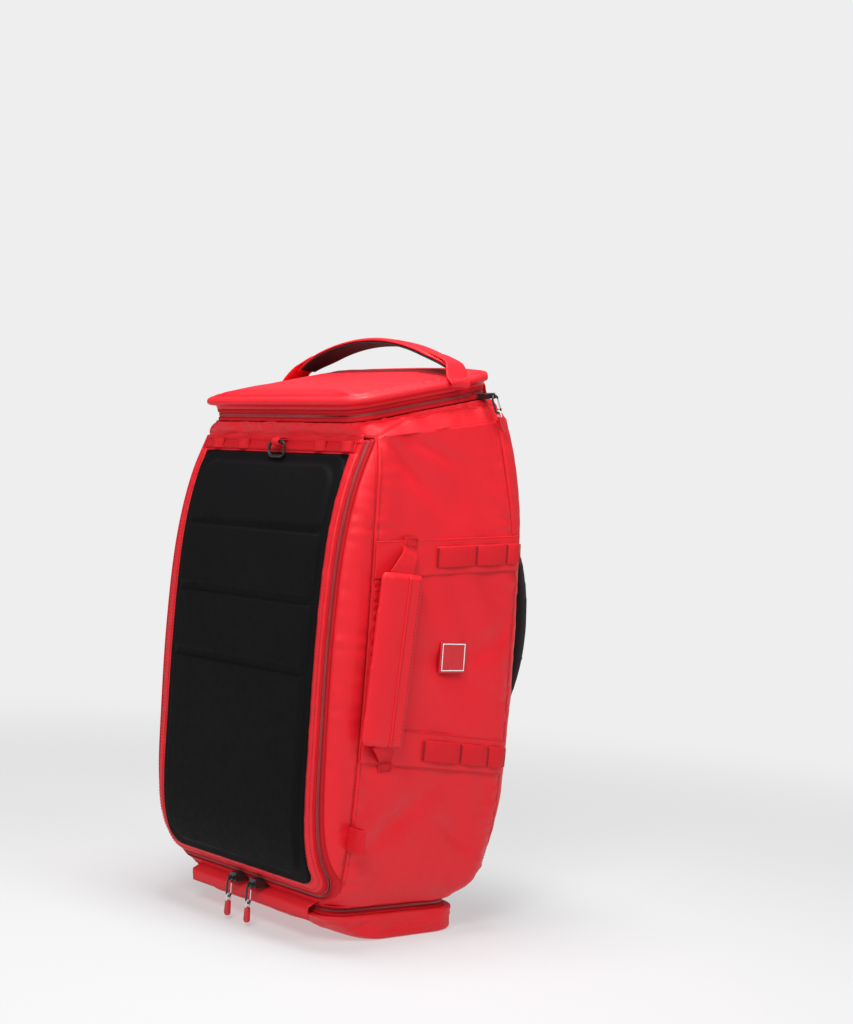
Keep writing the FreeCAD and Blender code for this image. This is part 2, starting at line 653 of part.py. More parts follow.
def front_sliders():
    across = V(1, 0, 0)
    for label, x in zip(("left", "right"), FRONT_SLIDER_X):
        bar = V(x, FRONT_PULL_Y, FRONT_PULL_Z)
        low = CHAIN_LOW - SLIDER_TALL
        body = block(x - 6.5, x + 6.5, -131.5, -108, low, CHAIN_LOW - 0.6).cut(body_loft(-0.6))
        neck = block(x - 0.9, x + 0.9, bar.y + 2, -130, bar.z - 1.2, bar.z + 1.2)
        hole = Part.makeCylinder(RING_WIRE / 2 + RUN_GAP, 4, bar - across * 2, across)
        save(f"front_zip_{label}_slider", body.fuse(neck).cut(hole).fuse(eyelet(bar, across)))
        pull(f"front_zip_{label}_pull", bar, across, V(0, 0, -1))


LID_PULL_TILT = math.radians(28)


def rim_point(v, h, x):
    """A point in the lid's own plane, v along it and h above the collar's rim."""
    return LID_ORIGIN + LID_ALONG * v + LID_NORMAL * h + V(x, 0, 0)


def lid_slider():
    along = V(0, math.cos(LID_PULL_TILT), math.sin(LID_PULL_TILT))
    down = V(0, math.sin(LID_PULL_TILT), -math.cos(LID_PULL_TILT))
    bar = rim_point(LID_SLIDER_V, 3.8, LID_PULL_X)
    half_band = (LID_BAND - LID_OPEN_GAP) / 2
    x_in = LID_SLIDER_X
    corners = [
        rim_point(LID_SLIDER_V + dv, h, x_in)
        for dv, h in ((-6.5, 1.0), (6.5, 1.0), (6.5, half_band - 0.4), (-6.5, half_band - 0.4))
    ]
    face = Part.Face(Part.makePolygon(corners + corners[:1]))
    body = face.extrude(V(LID_PULL_X - 4.5 - x_in, 0, 0))
    neck = Part.makeCylinder(1.1, 4.0, bar - V(6, 0, 0), V(1, 0, 0))
    hole = Part.makeCylinder(RING_WIRE / 2 + RUN_GAP, 6, bar - along * 3, along)
    save("lid_zip_slider", body.fuse(neck).cut(hole).fuse(eyelet(bar, along)))
    pull("lid_zip_pull", bar, along, down)


# ---- Back and harness --------------------------------------------------------------------
def back_pad():
    outline = prism_y(
        [(-PAD_HALF, PAD_LOW), (PAD_HALF, PAD_LOW), (PAD_HALF - 16, PAD_TOP), (-PAD_HALF + 16, PAD_TOP)],
        [30] * 4, 60, 400,
    )
    save("back_pad", skin(-PAD_THICK, 0).common(outline))
    sheet = prism_y(
        [(-122, 100), (122, 100), (118, 570), (-118, 570)], [25] * 4, 60, 400,
    )
    save("back_frame_sheet", skin(WALL, WALL + SHEET_THICK).common(sheet))


def bow_points(push):
    """Low, middle and high points of the shoulder strap's side curve."""
    base = BODY_SECTIONS[5][3] + PAD_THICK + FIT + push
    middle = (STRAP_LOW + STRAP_TOP) / 2
    return [V(-300, base, STRAP_LOW), V(-300, base + STRAP_BOW, middle), V(-300, base - 14, STRAP_TOP)]


def bow():
    """Bowed band in the YZ plane behind the pad, as a prism along X."""
    inner = bow_points(0)
    outer = bow_points(STRAP_THICK)
    edges = [
        Part.Arc(*inner).toShape(),
        Part.makeLine(inner[2], outer[2]),
        Part.Arc(*outer).toShape(),
        Part.makeLine(outer[0], inner[0]),
    ]
    return Part.Face(Part.Wire(Part.sortEdges(edges)[0])).extrude(V(600, 0, 0))


def strap_outline():
    """Shoulder strap seen from behind: close at the top, flaring, then in again."""
    half = STRAP_WIDE / 2
    middle = [(46, STRAP_TOP), (62, 520), (84, 440), (92, 350), (88, 280), (STRAP_FOOT_X, STRAP_LOW)]
    sides = []
    for offset in (-half, half):
        curve = Part.BSplineCurve()
        curve.interpolate([V(x + offset, 0, z) for x, z in middle])
        sides.append(curve.toShape())
    ends = [Part.makeLine(V(x - half, 0, z), V(x + half, 0, z)) for x, z in (middle[0], middle[-1])]
    wire = Part.Wire(Part.sortEdges(sides + ends)[0])
    return Part.Face(wire).extrude(V(0, 500, 0))


def harness():
    band = bow().cut(body_loft(-PAD_THICK - FIT))
    strap = band.common(strap_outline())
    save("right_shoulder_strap", strap)
    save("left_shoulder_strap", mirrored(strap))
    yoke = skin(-PAD_THICK - 6, -PAD_THICK).common(block(-84, 84, 60, 400, STRAP_TOP + FIT, STRAP_TOP + 10))
    save("harness_yoke", yoke)

    web = HARNESS_WEB / 2
    left, right = STRAP_FOOT_X - web, STRAP_FOOT_X + web
    y_low = bow_points(0)[0].y
    tail_outline = [
        (y_low + 5, STRAP_LOW - FIT), (y_low + 6.8, STRAP_LOW - FIT),
        (y_low + 1.8, PAD_LOW + 6), (y_low, PAD_LOW + 6),
    ]
    tail = prism_x(tail_outline, [0.3] * 4, left, right).cut(body_loft(-PAD_THICK - FIT))
    lock_z = STRAP_LOW - 26
    frame = block(left - 4, right + 4, y_low + 1.5, y_low + 8.5, lock_z, lock_z + 20)
    windows = [
        block(left - 0.5, right + 0.5, y_low - 5, y_low + 20, z, z + 5)
        for z in (lock_z + 3, lock_z + 12)
    ]
    channel = [(y + dy, z) for (y, z), dy in zip(tail_outline, (-0.4, 0.4, 0.4, -0.4))]
    lock = frame.cut(prism_x(channel, [0.3] * 4, 50, 110))
    for window in windows:
        lock = lock.cut(window)

    chest_y = bow_points(STRAP_THICK)[1].y + FIT
    chest = block(-96, 96, chest_y, chest_y + 1.8, STERNUM_Z - 10, STERNUM_Z + 10)
    buckle = block(-24, 24, chest_y - 2.2, chest_y + 6, STERNUM_Z - 14, STERNUM_Z + 14)
    slot = block(-100, 100, chest_y - 0.3, chest_y + 2.1, STERNUM_Z - 10.4, STERNUM_Z + 10.4)
    save("harness_webbing", tail, mirrored(tail), chest)
    save("harness_buckles", lock, mirrored(lock), buckle.cut(slot))


def main():
    os.makedirs(PARTS, exist_ok=True)
    sewn_body()
    collar()
    divider()
    front_cover()
    daisy_strip()
    gear_hook()
    lid()
    top_handle()
    base_flap()
    base_zip()
    side_bands()
    side_handle()
    lash_loops()
    front_sliders()
    lid_slider()
    back_pad()
    harness()


main()
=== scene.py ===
# %% [markdown]
# # A ski boot bag
# The bag is a tall sewn shell with a moulded front cover on a zip, a padded lid on a second zip
# and a base flap on a third. The hard pieces (sliders, hooks, buckles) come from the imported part.
# Everything soft is made again here, as surfaces worked out from the same section sizes.

import math

import bpy
import numpy as np
from mathutils import Matrix, Vector


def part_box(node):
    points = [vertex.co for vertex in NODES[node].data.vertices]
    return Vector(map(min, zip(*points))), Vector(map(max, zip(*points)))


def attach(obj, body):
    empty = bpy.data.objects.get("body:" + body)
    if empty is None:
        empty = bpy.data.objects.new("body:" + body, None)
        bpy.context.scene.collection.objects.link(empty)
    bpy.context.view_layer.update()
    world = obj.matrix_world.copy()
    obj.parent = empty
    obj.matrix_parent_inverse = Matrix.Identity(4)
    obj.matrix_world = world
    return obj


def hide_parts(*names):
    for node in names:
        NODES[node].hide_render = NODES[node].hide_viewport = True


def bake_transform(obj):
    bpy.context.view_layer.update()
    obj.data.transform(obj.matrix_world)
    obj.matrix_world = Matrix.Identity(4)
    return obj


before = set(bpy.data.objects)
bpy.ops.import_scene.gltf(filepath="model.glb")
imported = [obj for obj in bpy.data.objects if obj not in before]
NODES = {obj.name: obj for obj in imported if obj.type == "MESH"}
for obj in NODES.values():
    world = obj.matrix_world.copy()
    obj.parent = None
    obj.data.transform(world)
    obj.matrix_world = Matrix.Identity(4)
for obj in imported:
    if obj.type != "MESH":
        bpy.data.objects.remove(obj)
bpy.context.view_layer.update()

# %% [markdown]
# ## The shape of the sewn body
# A bag keeps the outline that its panels were cut to, rounded by what is inside. Its horizontal
# sections are rectangles with round corners, so ten of them describe the whole body: each has a
# height and a depth at the front and rear, and a half width at the front and rear. A smooth curve
# through the ten gives any section in between. Distances are in metres.

# %% Section table and interpolation
SECTIONS = np.array(
    [
        (46, -108, 42, 108, 150, 146),
        (72, -130, 66, 130, 164, 162),
        (110, -147, 100, 140, 172, 170),
        (160, -154, 150, 147, 177, 176),
        (245, -156, 240, 150, 180, 180),
        (335, -157, 335, 150, 181, 181),
        (425, -155, 430, 150, 180, 180),
        (490, -149, 510, 147, 178, 178),
        (545, -137, 575, 138, 177, 174),
        (594, -120, 640, 119, 174, 168),
    ],
    float,
) / 1000
MOUTH = np.array([610, -126, 666, 96, 150, 156], float) / 1000
FRONT_CORNER, REAR_CORNER = 0.028, 0.042
SEAM_Y, REAR_SEAM_Y = -0.111, 0.125


def section_at(t):
    """Section values at level t: a cubic through the table's rows.

    Its slope at each row is the mean of the steps beside it.
    """
    t = np.clip(np.asarray(t, float), 0, len(SECTIONS) - 1)
    i = np.minimum(t.astype(int), len(SECTIONS) - 2)
    f = (t - i)[..., None]
    slope = np.gradient(SECTIONS, axis=0)
    a, b, da, db = SECTIONS[i], SECTIONS[i + 1], slope[i], slope[i + 1]
    return (
        2 * f**3 - 3 * f**2 + 1
    ) * a + (f**3 - 2 * f**2 + f) * da + (3 * f**2 - 2 * f**3) * b + (f**3 - f**2) * db


def level_for(z, v_share=0.0):
    """Level t whose section passes through height z, by bisection.

    v_share says where from front to rear the section is to pass.
    """
    z = np.asarray(z, float)
    low, high = np.zeros(z.shape), np.full(z.shape, len(SECTIONS) - 1.0)
    for _ in range(24):
        mid = (low + high) / 2
        row = section_at(mid)
        under = row[..., 0] + (row[..., 2] - row[..., 0]) * v_share < z
        low, high = np.where(under, mid, low), np.where(under, high, mid)
    return (low + high) / 2


def around(row, s, grow=0.0):
    """Point on a section at signed distance s along its outline from the middle of the front.

    The outline is a straight, a round corner, the side, a round corner and a straight.
    """
    zf, yf, zr, yr, wf, wr = [row[..., k] for k in range(6)]
    a = np.abs(s)
    length = np.hypot(yr - yf, zr - zf)
    r1, r2 = FRONT_CORNER, REAR_CORNER
    ends = np.cumsum(
        [wf - r1, r1 * math.pi / 2 + 0 * wf, length - r1 - r2, r2 * math.pi / 2 + 0 * wf], axis=0
    )
    turn1 = np.clip((a - ends[0]) / r1, 0, math.pi / 2)
    turn2 = np.clip((a - ends[2]) / r2, 0, math.pi / 2)
    run = np.clip(a - ends[1], 0, length - r1 - r2)
    share = run / (length - r1 - r2)
    x = np.minimum(a, wf - r1) + r1 * np.sin(turn1) + (wr - wf) * share - r2 * (
        1 - np.cos(turn2)
    ) - np.maximum(a - ends[3], 0)
    v = r1 * (1 - np.cos(turn1)) + run + r2 * np.sin(turn2)
    nx, nv = np.sin(turn1) * np.cos(turn2), -np.cos(turn1) + np.sin(turn2)
    x, v = x + grow * nx, v + grow * nv
    cos_a, sin_a = (yr - yf) / length, (zr - zf) / length
    return np.stack([np.sign(s) * x, yf + v * cos_a, zf + v * sin_a], -1)


def half_round(row):
    """Length of a section's outline from the middle of its front to the middle of its back."""
    length = np.hypot(row[..., 3] - row[..., 1], row[..., 2] - row[..., 0])
    return row[..., 4] + row[..., 5] + length + (math.pi / 2 - 2) * (FRONT_CORNER + REAR_CORNER)


def rear_seam_y(t):
    """Depth of the seam between side and back, which comes forward in the body's top third."""
    return REAR_SEAM_Y - np.clip(t - 6.0, 0, 3) * 0.014


def distance_to_y(row, y):
    """Distance along a section's outline at which it reaches depth y on the side."""
    zf, yf, zr, yr, wf, wr = [row[..., k] for k in range(6)]
    length = np.hypot(yr - yf, zr - zf)
    v = (y - yf) / ((yr - yf) / length)
    r1, r2 = FRONT_CORNER, REAR_CORNER
    turn1 = np.arccos(np.clip(1 - v / r1, -1, 1))
    turn2 = np.arcsin(np.clip((v - (length - r2)) / r2, 0, 1))
    side = np.clip(v - r1, 0, length - r1 - r2)
    return np.where(v < r1, wf - r1 + r1 * turn1, wf - r1 + r1 * math.pi / 2 + side + r2 * turn2)


print("body levels", section_at(4.5))

# %% [markdown]
# ## From a grid of points to a mesh
# Each new piece is a grid of points, computed in one go. A small kit turns such grids into meshes
# with their own UV map in metres, so that a woven pattern keeps its true size on any piece.

# %% Mesh kit
def quads(rows, cols, wrap_rows=False, wrap_cols=False, start=0):
    """Corner numbers of the quads of a grid; wrap joins the last row or column to the first."""
    r = np.arange(rows if wrap_rows else rows - 1)[:, None]
    c = np.arange(cols if wrap_cols else cols - 1)[None, :]
    r2, c2 = (r + 1) % rows, (c + 1) % cols
    return (
        start + np.stack([r * cols + c, r * cols + c2, r2 * cols + c2, r2 * cols + c], -1)
    ).reshape(-1, 4)


def piece(
    name, grids, material, body, slot=None, stands_for=(), flip=False, smooth=True, thick=0.0
):
    """One mesh from a list of grids (points, wrap rows, wrap columns), riding on a body if one is named."""
    verts, faces, uvs = [], [], []
    count = 0
    for points, wrap_r, wrap_c in grids:
        rows, cols = points.shape[:2]
        faces.append(quads(rows, cols, wrap_r, wrap_c, count))
        verts.append(points.reshape(-1, 3))
        wide = np.concatenate([points, points[:, :1]], 1) if wrap_c else points
        wide = np.concatenate([wide, wide[:1]], 0) if wrap_r else wide
        du = np.linalg.norm(np.diff(wide, axis=1, prepend=wide[:, :1]), axis=-1).cumsum(1)
        dv = np.linalg.norm(np.diff(wide, axis=0, prepend=wide[:1]), axis=-1).cumsum(0)
        uvs.append(np.stack([du, dv], -1).reshape(-1, 2)[quads(*wide.shape[:2])])
        count += rows * cols
    verts, faces, uvs = np.concatenate(verts), np.concatenate(faces), np.concatenate(uvs)
    if flip:
        faces, uvs = faces[:, ::-1], uvs[:, ::-1]
    mesh = bpy.data.meshes.new(name)
    mesh.from_pydata(verts, [], faces.tolist())
    layer = mesh.uv_layers.new(name="UVMap")
    layer.data.foreach_set("uv", uvs.astype(np.float32).ravel())
    mesh.polygons.foreach_set("use_smooth", np.full(len(faces), smooth))
    mesh.materials.append(material)
    obj = bpy.data.objects.new(name, mesh)
    bpy.context.scene.collection.objects.link(obj)
    if thick:
        wall = obj.modifiers.new("wall", "SOLIDIFY")
        wall.thickness, wall.offset = abs(thick), -1 if thick > 0 else 1
        wall.use_even_offset = False
    if body:
        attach(obj, body)
    if stands_for:
        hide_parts(*stands_for)
    print(name, "faces", len(faces))
    return obj


print("faces of a 3 by 4 grid", len(quads(3, 4)))

# %% [markdown]
# ## How a pad is swelled
# Padding pushes cloth out between its seams. Blender's cloth solver does that with air pressure
# inside a closed mesh: the mesh is made even, the sewn points are held, twenty steps are run, and the
# result becomes the piece's own mesh. A limit on each point's move keeps it clear of its neighbours.

# %% Swelling a pad
def mesh_points(mesh):
    """A mesh's points as an array."""
    points = np.empty(len(mesh.vertices) * 3)
    mesh.vertices.foreach_get("co", points)
    return points.reshape(-1, 3)


def flat_copy(obj):
    """A new mesh with an object's modifiers applied."""
    graph = bpy.context.evaluated_depsgraph_get()
    return bpy.data.meshes.new_from_object(obj.evaluated_get(graph), depsgraph=graph)


def box_uv(mesh):
    """UV map in metres: each face takes the two coordinates across its largest normal part."""
    points = mesh_points(mesh)
    normals, corners = np.empty(len(mesh.polygons) * 3), np.empty(len(mesh.loops), int)
    mesh.polygons.foreach_get("normal", normals)
    mesh.loops.foreach_get("vertex_index", corners)
    totals = np.empty(len(mesh.polygons), int)
    mesh.polygons.foreach_get("loop_total", totals)
    axis = np.repeat(np.abs(normals.reshape(-1, 3)).argmax(1), totals)
    pick = np.array([(1, 2), (0, 2), (0, 1)])[axis]
    where = points[corners]
    layer = mesh.uv_layers.get("UVMap") or mesh.uv_layers.new(name="UVMap")
    layer.data.foreach_set("uv", np.take_along_axis(where, pick, 1).astype(np.float32).ravel())


CLOTH_STEPS = 20


def puff(obj, sewn, cap=0.006, pressure=4.0, voxel=0.004, carve=None):
    """Swell a padded piece as cloth under inner pressure: remesh, twenty steps, cap, smooth.

    Points where sewn is true stay put and none moves further than cap. carve sinks seams into the result.
    """
    scene = bpy.context.scene
    work = bpy.data.objects.new(obj.name + "_cloth", obj.data.copy())
    scene.collection.objects.link(work)
    grid = work.modifiers.new("grid", "REMESH")
    grid.mode, grid.voxel_size = "VOXEL", voxel
    bpy.context.view_layer.update()
    mesh = flat_copy(work)
    work.modifiers.clear()
    work.data = mesh
    start = mesh_points(mesh)
    held = work.vertex_groups.new(name="sewn")
    held.add(np.flatnonzero(sewn(start)).tolist(), 1.0, "REPLACE")
    cloth = work.modifiers.new("cloth", "CLOTH")
    cloth.settings.vertex_group_mass = "sewn"
    cloth.settings.use_pressure = True
    cloth.settings.uniform_pressure_force = pressure
    cloth.settings.effector_weights.gravity = 0
    cloth.point_cache.frame_start, cloth.point_cache.frame_end = 1, CLOTH_STEPS
    for step in range(1, CLOTH_STEPS + 1):
        scene.frame_set(step)
    settled = flat_copy(work)
    move = mesh_points(settled) - start
    far = np.linalg.norm(move, axis=1, keepdims=True)
    move *= np.minimum(1, cap / np.maximum(far, 1e-9))
    points = start + move
    if carve is not None:
        normals = np.empty(len(points) * 3)
        settled.vertices.foreach_get("normal", normals)
        points = points - normals.reshape(-1, 3) * carve(points)[:, None]
    scene.frame_set(1)
    bpy.data.objects.remove(work)
    mesh.vertices.foreach_set("co", points.ravel())
    mesh.polygons.foreach_set("use_smooth", np.ones(len(mesh.polygons), bool))
    mesh.update()
    mesh.materials.clear()
    mesh.materials.append(obj.data.materials[0])
    box_uv(mesh)
    obj.modifiers.clear()
    obj.data = mesh
    fine = obj.modifiers.new("fine", "SUBSURF")
    fine.levels = fine.render_levels = 1
    print(
        obj.name, "swelled, points", len(points), "largest move mm",
        round(float(np.linalg.norm(move, axis=1).max() * 1000), 2)
    )


print("cloth steps", CLOTH_STEPS)

# %% [markdown]
# ## Relief on a surface
# Folds, gathers and grooves are small moves of a surface along its own normals. The size of the move
# comes from smooth noise, which is a sum of sine waves in all directions, so it has no grain.

# %% Relief on a surface
def normals_of(points):
    """Unit normals of a grid, from the cross product of its row and column differences."""
    du, dv = np.gradient(points, axis=1), np.gradient(points, axis=0)
    n = np.cross(du, dv)
    return n / np.maximum(np.linalg.norm(n, axis=-1, keepdims=True), 1e-12)


def noise3(p, scale, seed, terms=14):
    """Smooth noise mostly between -1 and 1: a sum of sine waves of random direction and phase."""
    rng = np.random.default_rng(seed)
    k = rng.normal(size=(terms, 3))
    k = k / np.linalg.norm(k, axis=1, keepdims=True) * rng.uniform(0.6, 1.5, (terms, 1)) / scale
    return np.sin(p @ k.T * 2 * math.pi + rng.uniform(0, 6.28, terms)).sum(-1) / math.sqrt(terms)


def crowded(count, bend):
    """Numbers from -1 to 1 that stand closer together towards both ends."""
    return np.sin(np.linspace(-1, 1, count) * math.pi / 2 * bend) / math.sin(math.pi / 2 * bend)


def flat_loop(count, square, crown):
    """Across and up round a flat loop: a circle's cosine and sine, each squared off by its own power."""
    angle = np.linspace(0, 2 * math.pi, count, endpoint=False)
    across = np.sign(np.cos(angle)) * np.abs(np.cos(angle)) ** square
    return across, np.sign(np.sin(angle)) * np.abs(np.sin(angle)) ** crown


def across_strip(half):
    """Columns of shares and heights across a strip, from the first half of its profile."""
    whole = list(half) + [(1 - share, lift) for share, lift in half[-2::-1]]
    share, lift = np.array(whole, float).T
    return share[:, None], lift[:, None]


def mirror_x(points):
    """The same grid on the bag's other side, with its columns reversed so that it still faces outwards."""
    return (points * [-1, 1, 1])[:, ::-1]


print("noise at the origin", noise3(np.zeros(3), 0.05, 1))

# %% [markdown]
# ## Camera, floor and light
# The camera stands low and far off, at the corner between the cover and the bag's right side. A
# pale floor and a soft, even light show colours about as they are.

# %% Camera
eye = (1.70909, -1.41677, 0.50519)
right = (0.66856, 0.73979, 0.07572)
up = (-0.04750, -0.05913, 0.99712)
back = (0.74214, -0.67023, -0.00439)
camera = bpy.data.objects.new("camera", bpy.data.cameras.new("camera"))
bpy.context.scene.collection.objects.link(camera)
camera.matrix_world = Matrix([[right[k], up[k], back[k], eye[k]] for k in range(3)] + [[0, 0, 0, 1]])
camera.data.sensor_width = 36
camera.data.lens = 61.5
bpy.context.scene.camera = camera
print("camera at", tuple(round(v, 3) for v in camera.location))

# %% [markdown]
# ## A pale floor and three soft lamps
# A soft lamp is a wide disc: the wider it is, the softer the edge of the shadow. One stands in front,
# one at the side and one overhead. The floor glows a little more the further it is from the bag, so
# that it runs into the pale background without an edge, and keeps the bag's shadow near its foot.

# %% Floor and lamps
def lamp(name, where, target, size, power):
    """An area lamp at a place, turned to face its target."""
    data = bpy.data.lights.new(name, "AREA")
    data.shape, data.size, data.energy = "DISK", size, power
    obj = bpy.data.objects.new(name, data)
    bpy.context.scene.collection.objects.link(obj)
    obj.location = where
    obj.rotation_euler = (Vector(target) - Vector(where)).to_track_quat("-Z", "Y").to_euler()
    return obj


def plain_material(name):
    """A new material, its node tree and its Principled shader."""
    mat = bpy.data.materials.new(name)
    mat.use_nodes = True
    tree = mat.node_tree
    return mat, tree, tree.nodes["Principled BSDF"]


PALE = (0.855, 0.855, 0.860)
floor_mat, tree, shader = plain_material("pale_floor")
place = tree.nodes.new("ShaderNodeTexCoord")
flat = tree.nodes.new("ShaderNodeVectorMath")
flat.operation = "LENGTH"
tree.links.new(place.outputs["Object"], flat.inputs[0])
away = tree.nodes.new("ShaderNodeMapRange")
away.interpolation_type = "SMOOTHSTEP"
away.inputs["From Min"].default_value = 0.45
away.inputs["From Max"].default_value = 2.4
tree.links.new(flat.outputs["Value"], away.inputs["Value"])
tone = tree.nodes.new("ShaderNodeMix")
tone.data_type = "RGBA"
tone.inputs["A"].default_value = (0.37, 0.37, 0.375, 1)
tone.inputs["B"].default_value = (0.0, 0.0, 0.0, 1)
tree.links.new(away.outputs["Result"], tone.inputs["Factor"])
tree.links.new(tone.outputs["Result"], shader.inputs["Base Color"])
glow = tree.nodes.new("ShaderNodeMapRange")
glow.inputs["To Min"].default_value = 0.50
glow.inputs["To Max"].default_value = 1.0
tree.links.new(away.outputs["Result"], glow.inputs["Value"])
tree.links.new(glow.outputs["Result"], shader.inputs["Emission Strength"])
shader.inputs["Emission Color"].default_value = (*PALE, 1)
shader.inputs["Roughness"].default_value = 0.9
shader.inputs["Specular IOR Level"].default_value = 0.0
floor = bpy.data.objects.new("floor", bpy.data.meshes.new("floor"))
far = 40.0
floor.data.from_pydata(
    [(-far, -far, 0), (far, -far, 0), (far, far, 0), (-far, far, 0)], [], [(0, 1, 2, 3)]
)
floor.data.materials.append(floor_mat)
bpy.context.scene.collection.objects.link(floor)

lamp("key", (1.5, -2.0, 2.2), (0, 0, 0.5), 1.1, 46)
lamp("side", (2.0, 0.3, 2.2), (0, 0, 0.45), 0.9, 17)
lamp("top", (0.1, -0.2, 2.0), (0, 0, 0.4), 0.8, 30)

world = bpy.data.worlds.new("studio")
world.use_nodes = True
bpy.context.scene.world = world
nodes, links = world.node_tree.nodes, world.node_tree.links
background = nodes["Background"]
background.inputs["Color"].default_value = (0.9, 0.92, 0.95, 1)
background.inputs["Strength"].default_value = 0.24
seen = nodes.new("ShaderNodeBackground")
seen.inputs["Color"].default_value = (*PALE, 1)
seen.inputs["Strength"].default_value = 1.0
path = nodes.new("ShaderNodeLightPath")
mix = nodes.new("ShaderNodeMixShader")
links.new(path.outputs["Is Camera Ray"], mix.inputs["Fac"])
links.new(background.outputs[0], mix.inputs[1])
links.new(seen.outputs[0], mix.inputs[2])
links.new(mix.outputs[0], nodes["World Output"].inputs["Surface"])
bpy.context.scene.view_settings.view_transform = "Standard"

# %% [markdown]
# ## Shared surface effects
# The shell is polyester coated on its face, so its weave only just shows and it shines softly. The
# webbing is coarser. One group of nodes draws threads in any pitch, another gives slow changes of
# colour and sheen, as handled cloth has. Both are used by every finish at its own values.

# %% Node groups
def new_group(name, inputs, outputs):
    """A shader node group with float or vector sockets by name; returns it with its two ends."""
    group = bpy.data.node_groups.new(name, "ShaderNodeTree")
    for label, kind, value in inputs:
        socket = group.interface.new_socket(label, in_out="INPUT", socket_type=kind)
        if value is not None:
            socket.default_value = value
    for label, kind in outputs:
        group.interface.new_socket(label, in_out="OUTPUT", socket_type=kind)
    return group, group.nodes.new("NodeGroupInput"), group.nodes.new("NodeGroupOutput")


def math_node(tree, operation, a, b=None):
    """A Math node fed by sockets or numbers."""
    node = tree.nodes.new("ShaderNodeMath")
    node.operation = operation
    for k, value in enumerate((a, b)):
        if value is None:
            continue
        if hasattr(value, "links"):
            tree.links.new(value, node.inputs[k])
        else:
            node.inputs[k].default_value = value
    return node.outputs[0]


FLOAT, VECTOR = "NodeSocketFloat", "NodeSocketVector"
weave_group, inlet, outlet = new_group(
    "thread_weave", [("Vector", VECTOR, None), ("Pitch", FLOAT, 0.001), ("Rib", FLOAT, 0.0)],
    [("Height", FLOAT)]
)
split = weave_group.nodes.new("ShaderNodeSeparateXYZ")
weave_group.links.new(inlet.outputs["Vector"], split.inputs[0])
turns = math_node(weave_group, "DIVIDE", math.pi, inlet.outputs["Pitch"])
across = math_node(weave_group, "SINE", math_node(weave_group, "MULTIPLY", split.outputs[0], turns))
along = math_node(weave_group, "SINE", math_node(weave_group, "MULTIPLY", split.outputs[1], turns))
basket = math_node(weave_group, "MULTIPLY", across, along)
ribs = math_node(weave_group, "MULTIPLY", math_node(weave_group, "ABSOLUTE", across), inlet.outputs["Rib"])
weave_group.links.new(math_node(weave_group, "ADD", basket, ribs), outlet.inputs["Height"])

wear_group, inlet, outlet = new_group(
    "handled_cloth", [("Vector", VECTOR, None), ("Size", FLOAT, 0.1)], [("Slow", FLOAT), ("Fine", FLOAT)]
)
scaled = wear_group.nodes.new("ShaderNodeVectorMath")
scaled.operation = "SCALE"
wear_group.links.new(inlet.outputs["Vector"], scaled.inputs[0])
wear_group.links.new(math_node(wear_group, "DIVIDE", 1.0, inlet.outputs["Size"]), scaled.inputs["Scale"])
for label, scale, detail in (("Slow", 1.0, 3.0), ("Fine", 14.0, 5.0)):
    noise = wear_group.nodes.new("ShaderNodeTexNoise")
    noise.inputs["Scale"].default_value = scale
    noise.inputs["Detail"].default_value = detail
    wear_group.links.new(scaled.outputs[0], noise.inputs["Vector"])
    wear_group.links.new(noise.outputs["Fac"], outlet.inputs[label])
print("groups", [g.name for g in bpy.data.node_groups])

# %% [markdown]
# ## One recipe for every finish
# Coated cloth, webbing, rubber and metal differ in colour, sheen and relief, but each is a colour that
# drifts between two tones over a fine relief. So one function makes them all from a few values, and
# each finish is one call.

# %% Finishes
def finish(
    name, colour, light, rough, pitch=0.0006, rib=0.0, weave=0.25, grain=0.2, size=0.12, sheen=0.0,
    uv=False, metallic=0.0, coat=0.0, specular=0.5, height=0.0003
):
    """A finish whose colour drifts between two tones; threads and fine grain make its relief."""
    mat, tree, shader = plain_material(name)
    place = tree.nodes.new("ShaderNodeTexCoord")
    vector = place.outputs["UV" if uv else "Object"]
    wear = tree.nodes.new("ShaderNodeGroup")
    wear.node_tree = wear_group
    tree.links.new(place.outputs["Object"], wear.inputs["Vector"])
    wear.inputs["Size"].default_value = size
    tone = tree.nodes.new("ShaderNodeMix")
    tone.data_type = "RGBA"
    tone.inputs["A"].default_value = (*colour, 1)
    tone.inputs["B"].default_value = (*light, 1)
    tree.links.new(wear.outputs["Slow"], tone.inputs["Factor"])
    tree.links.new(tone.outputs["Result"], shader.inputs["Base Color"])
    rough_value = math_node(tree, "MULTIPLY_ADD", wear.outputs["Fine"], 0.25)
    rough_value.node.inputs[2].default_value = rough - 0.12
    tree.links.new(rough_value, shader.inputs["Roughness"])
    relief = math_node(tree, "MULTIPLY", wear.outputs["Fine"], grain)
    if weave:
        threads = tree.nodes.new("ShaderNodeGroup")
        threads.node_tree = weave_group
        tree.links.new(vector, threads.inputs["Vector"])
        threads.inputs["Pitch"].default_value = pitch
        threads.inputs["Rib"].default_value = rib
        relief = math_node(
            tree, "ADD", relief, math_node(tree, "MULTIPLY", threads.outputs["Height"], weave)
        )
    bump = tree.nodes.new("ShaderNodeBump")
    bump.inputs["Strength"].default_value = 1.0
    bump.inputs["Distance"].default_value = height
    tree.links.new(relief, bump.inputs["Height"])
    tree.links.new(bump.outputs["Normal"], shader.inputs["Normal"])
    shader.inputs["Metallic"].default_value = metallic
    shader.inputs["Sheen Weight"].default_value = sheen
    shader.inputs["Coat Weight"].default_value = coat
    shader.inputs["Specular IOR Level"].default_value = specular
    return mat


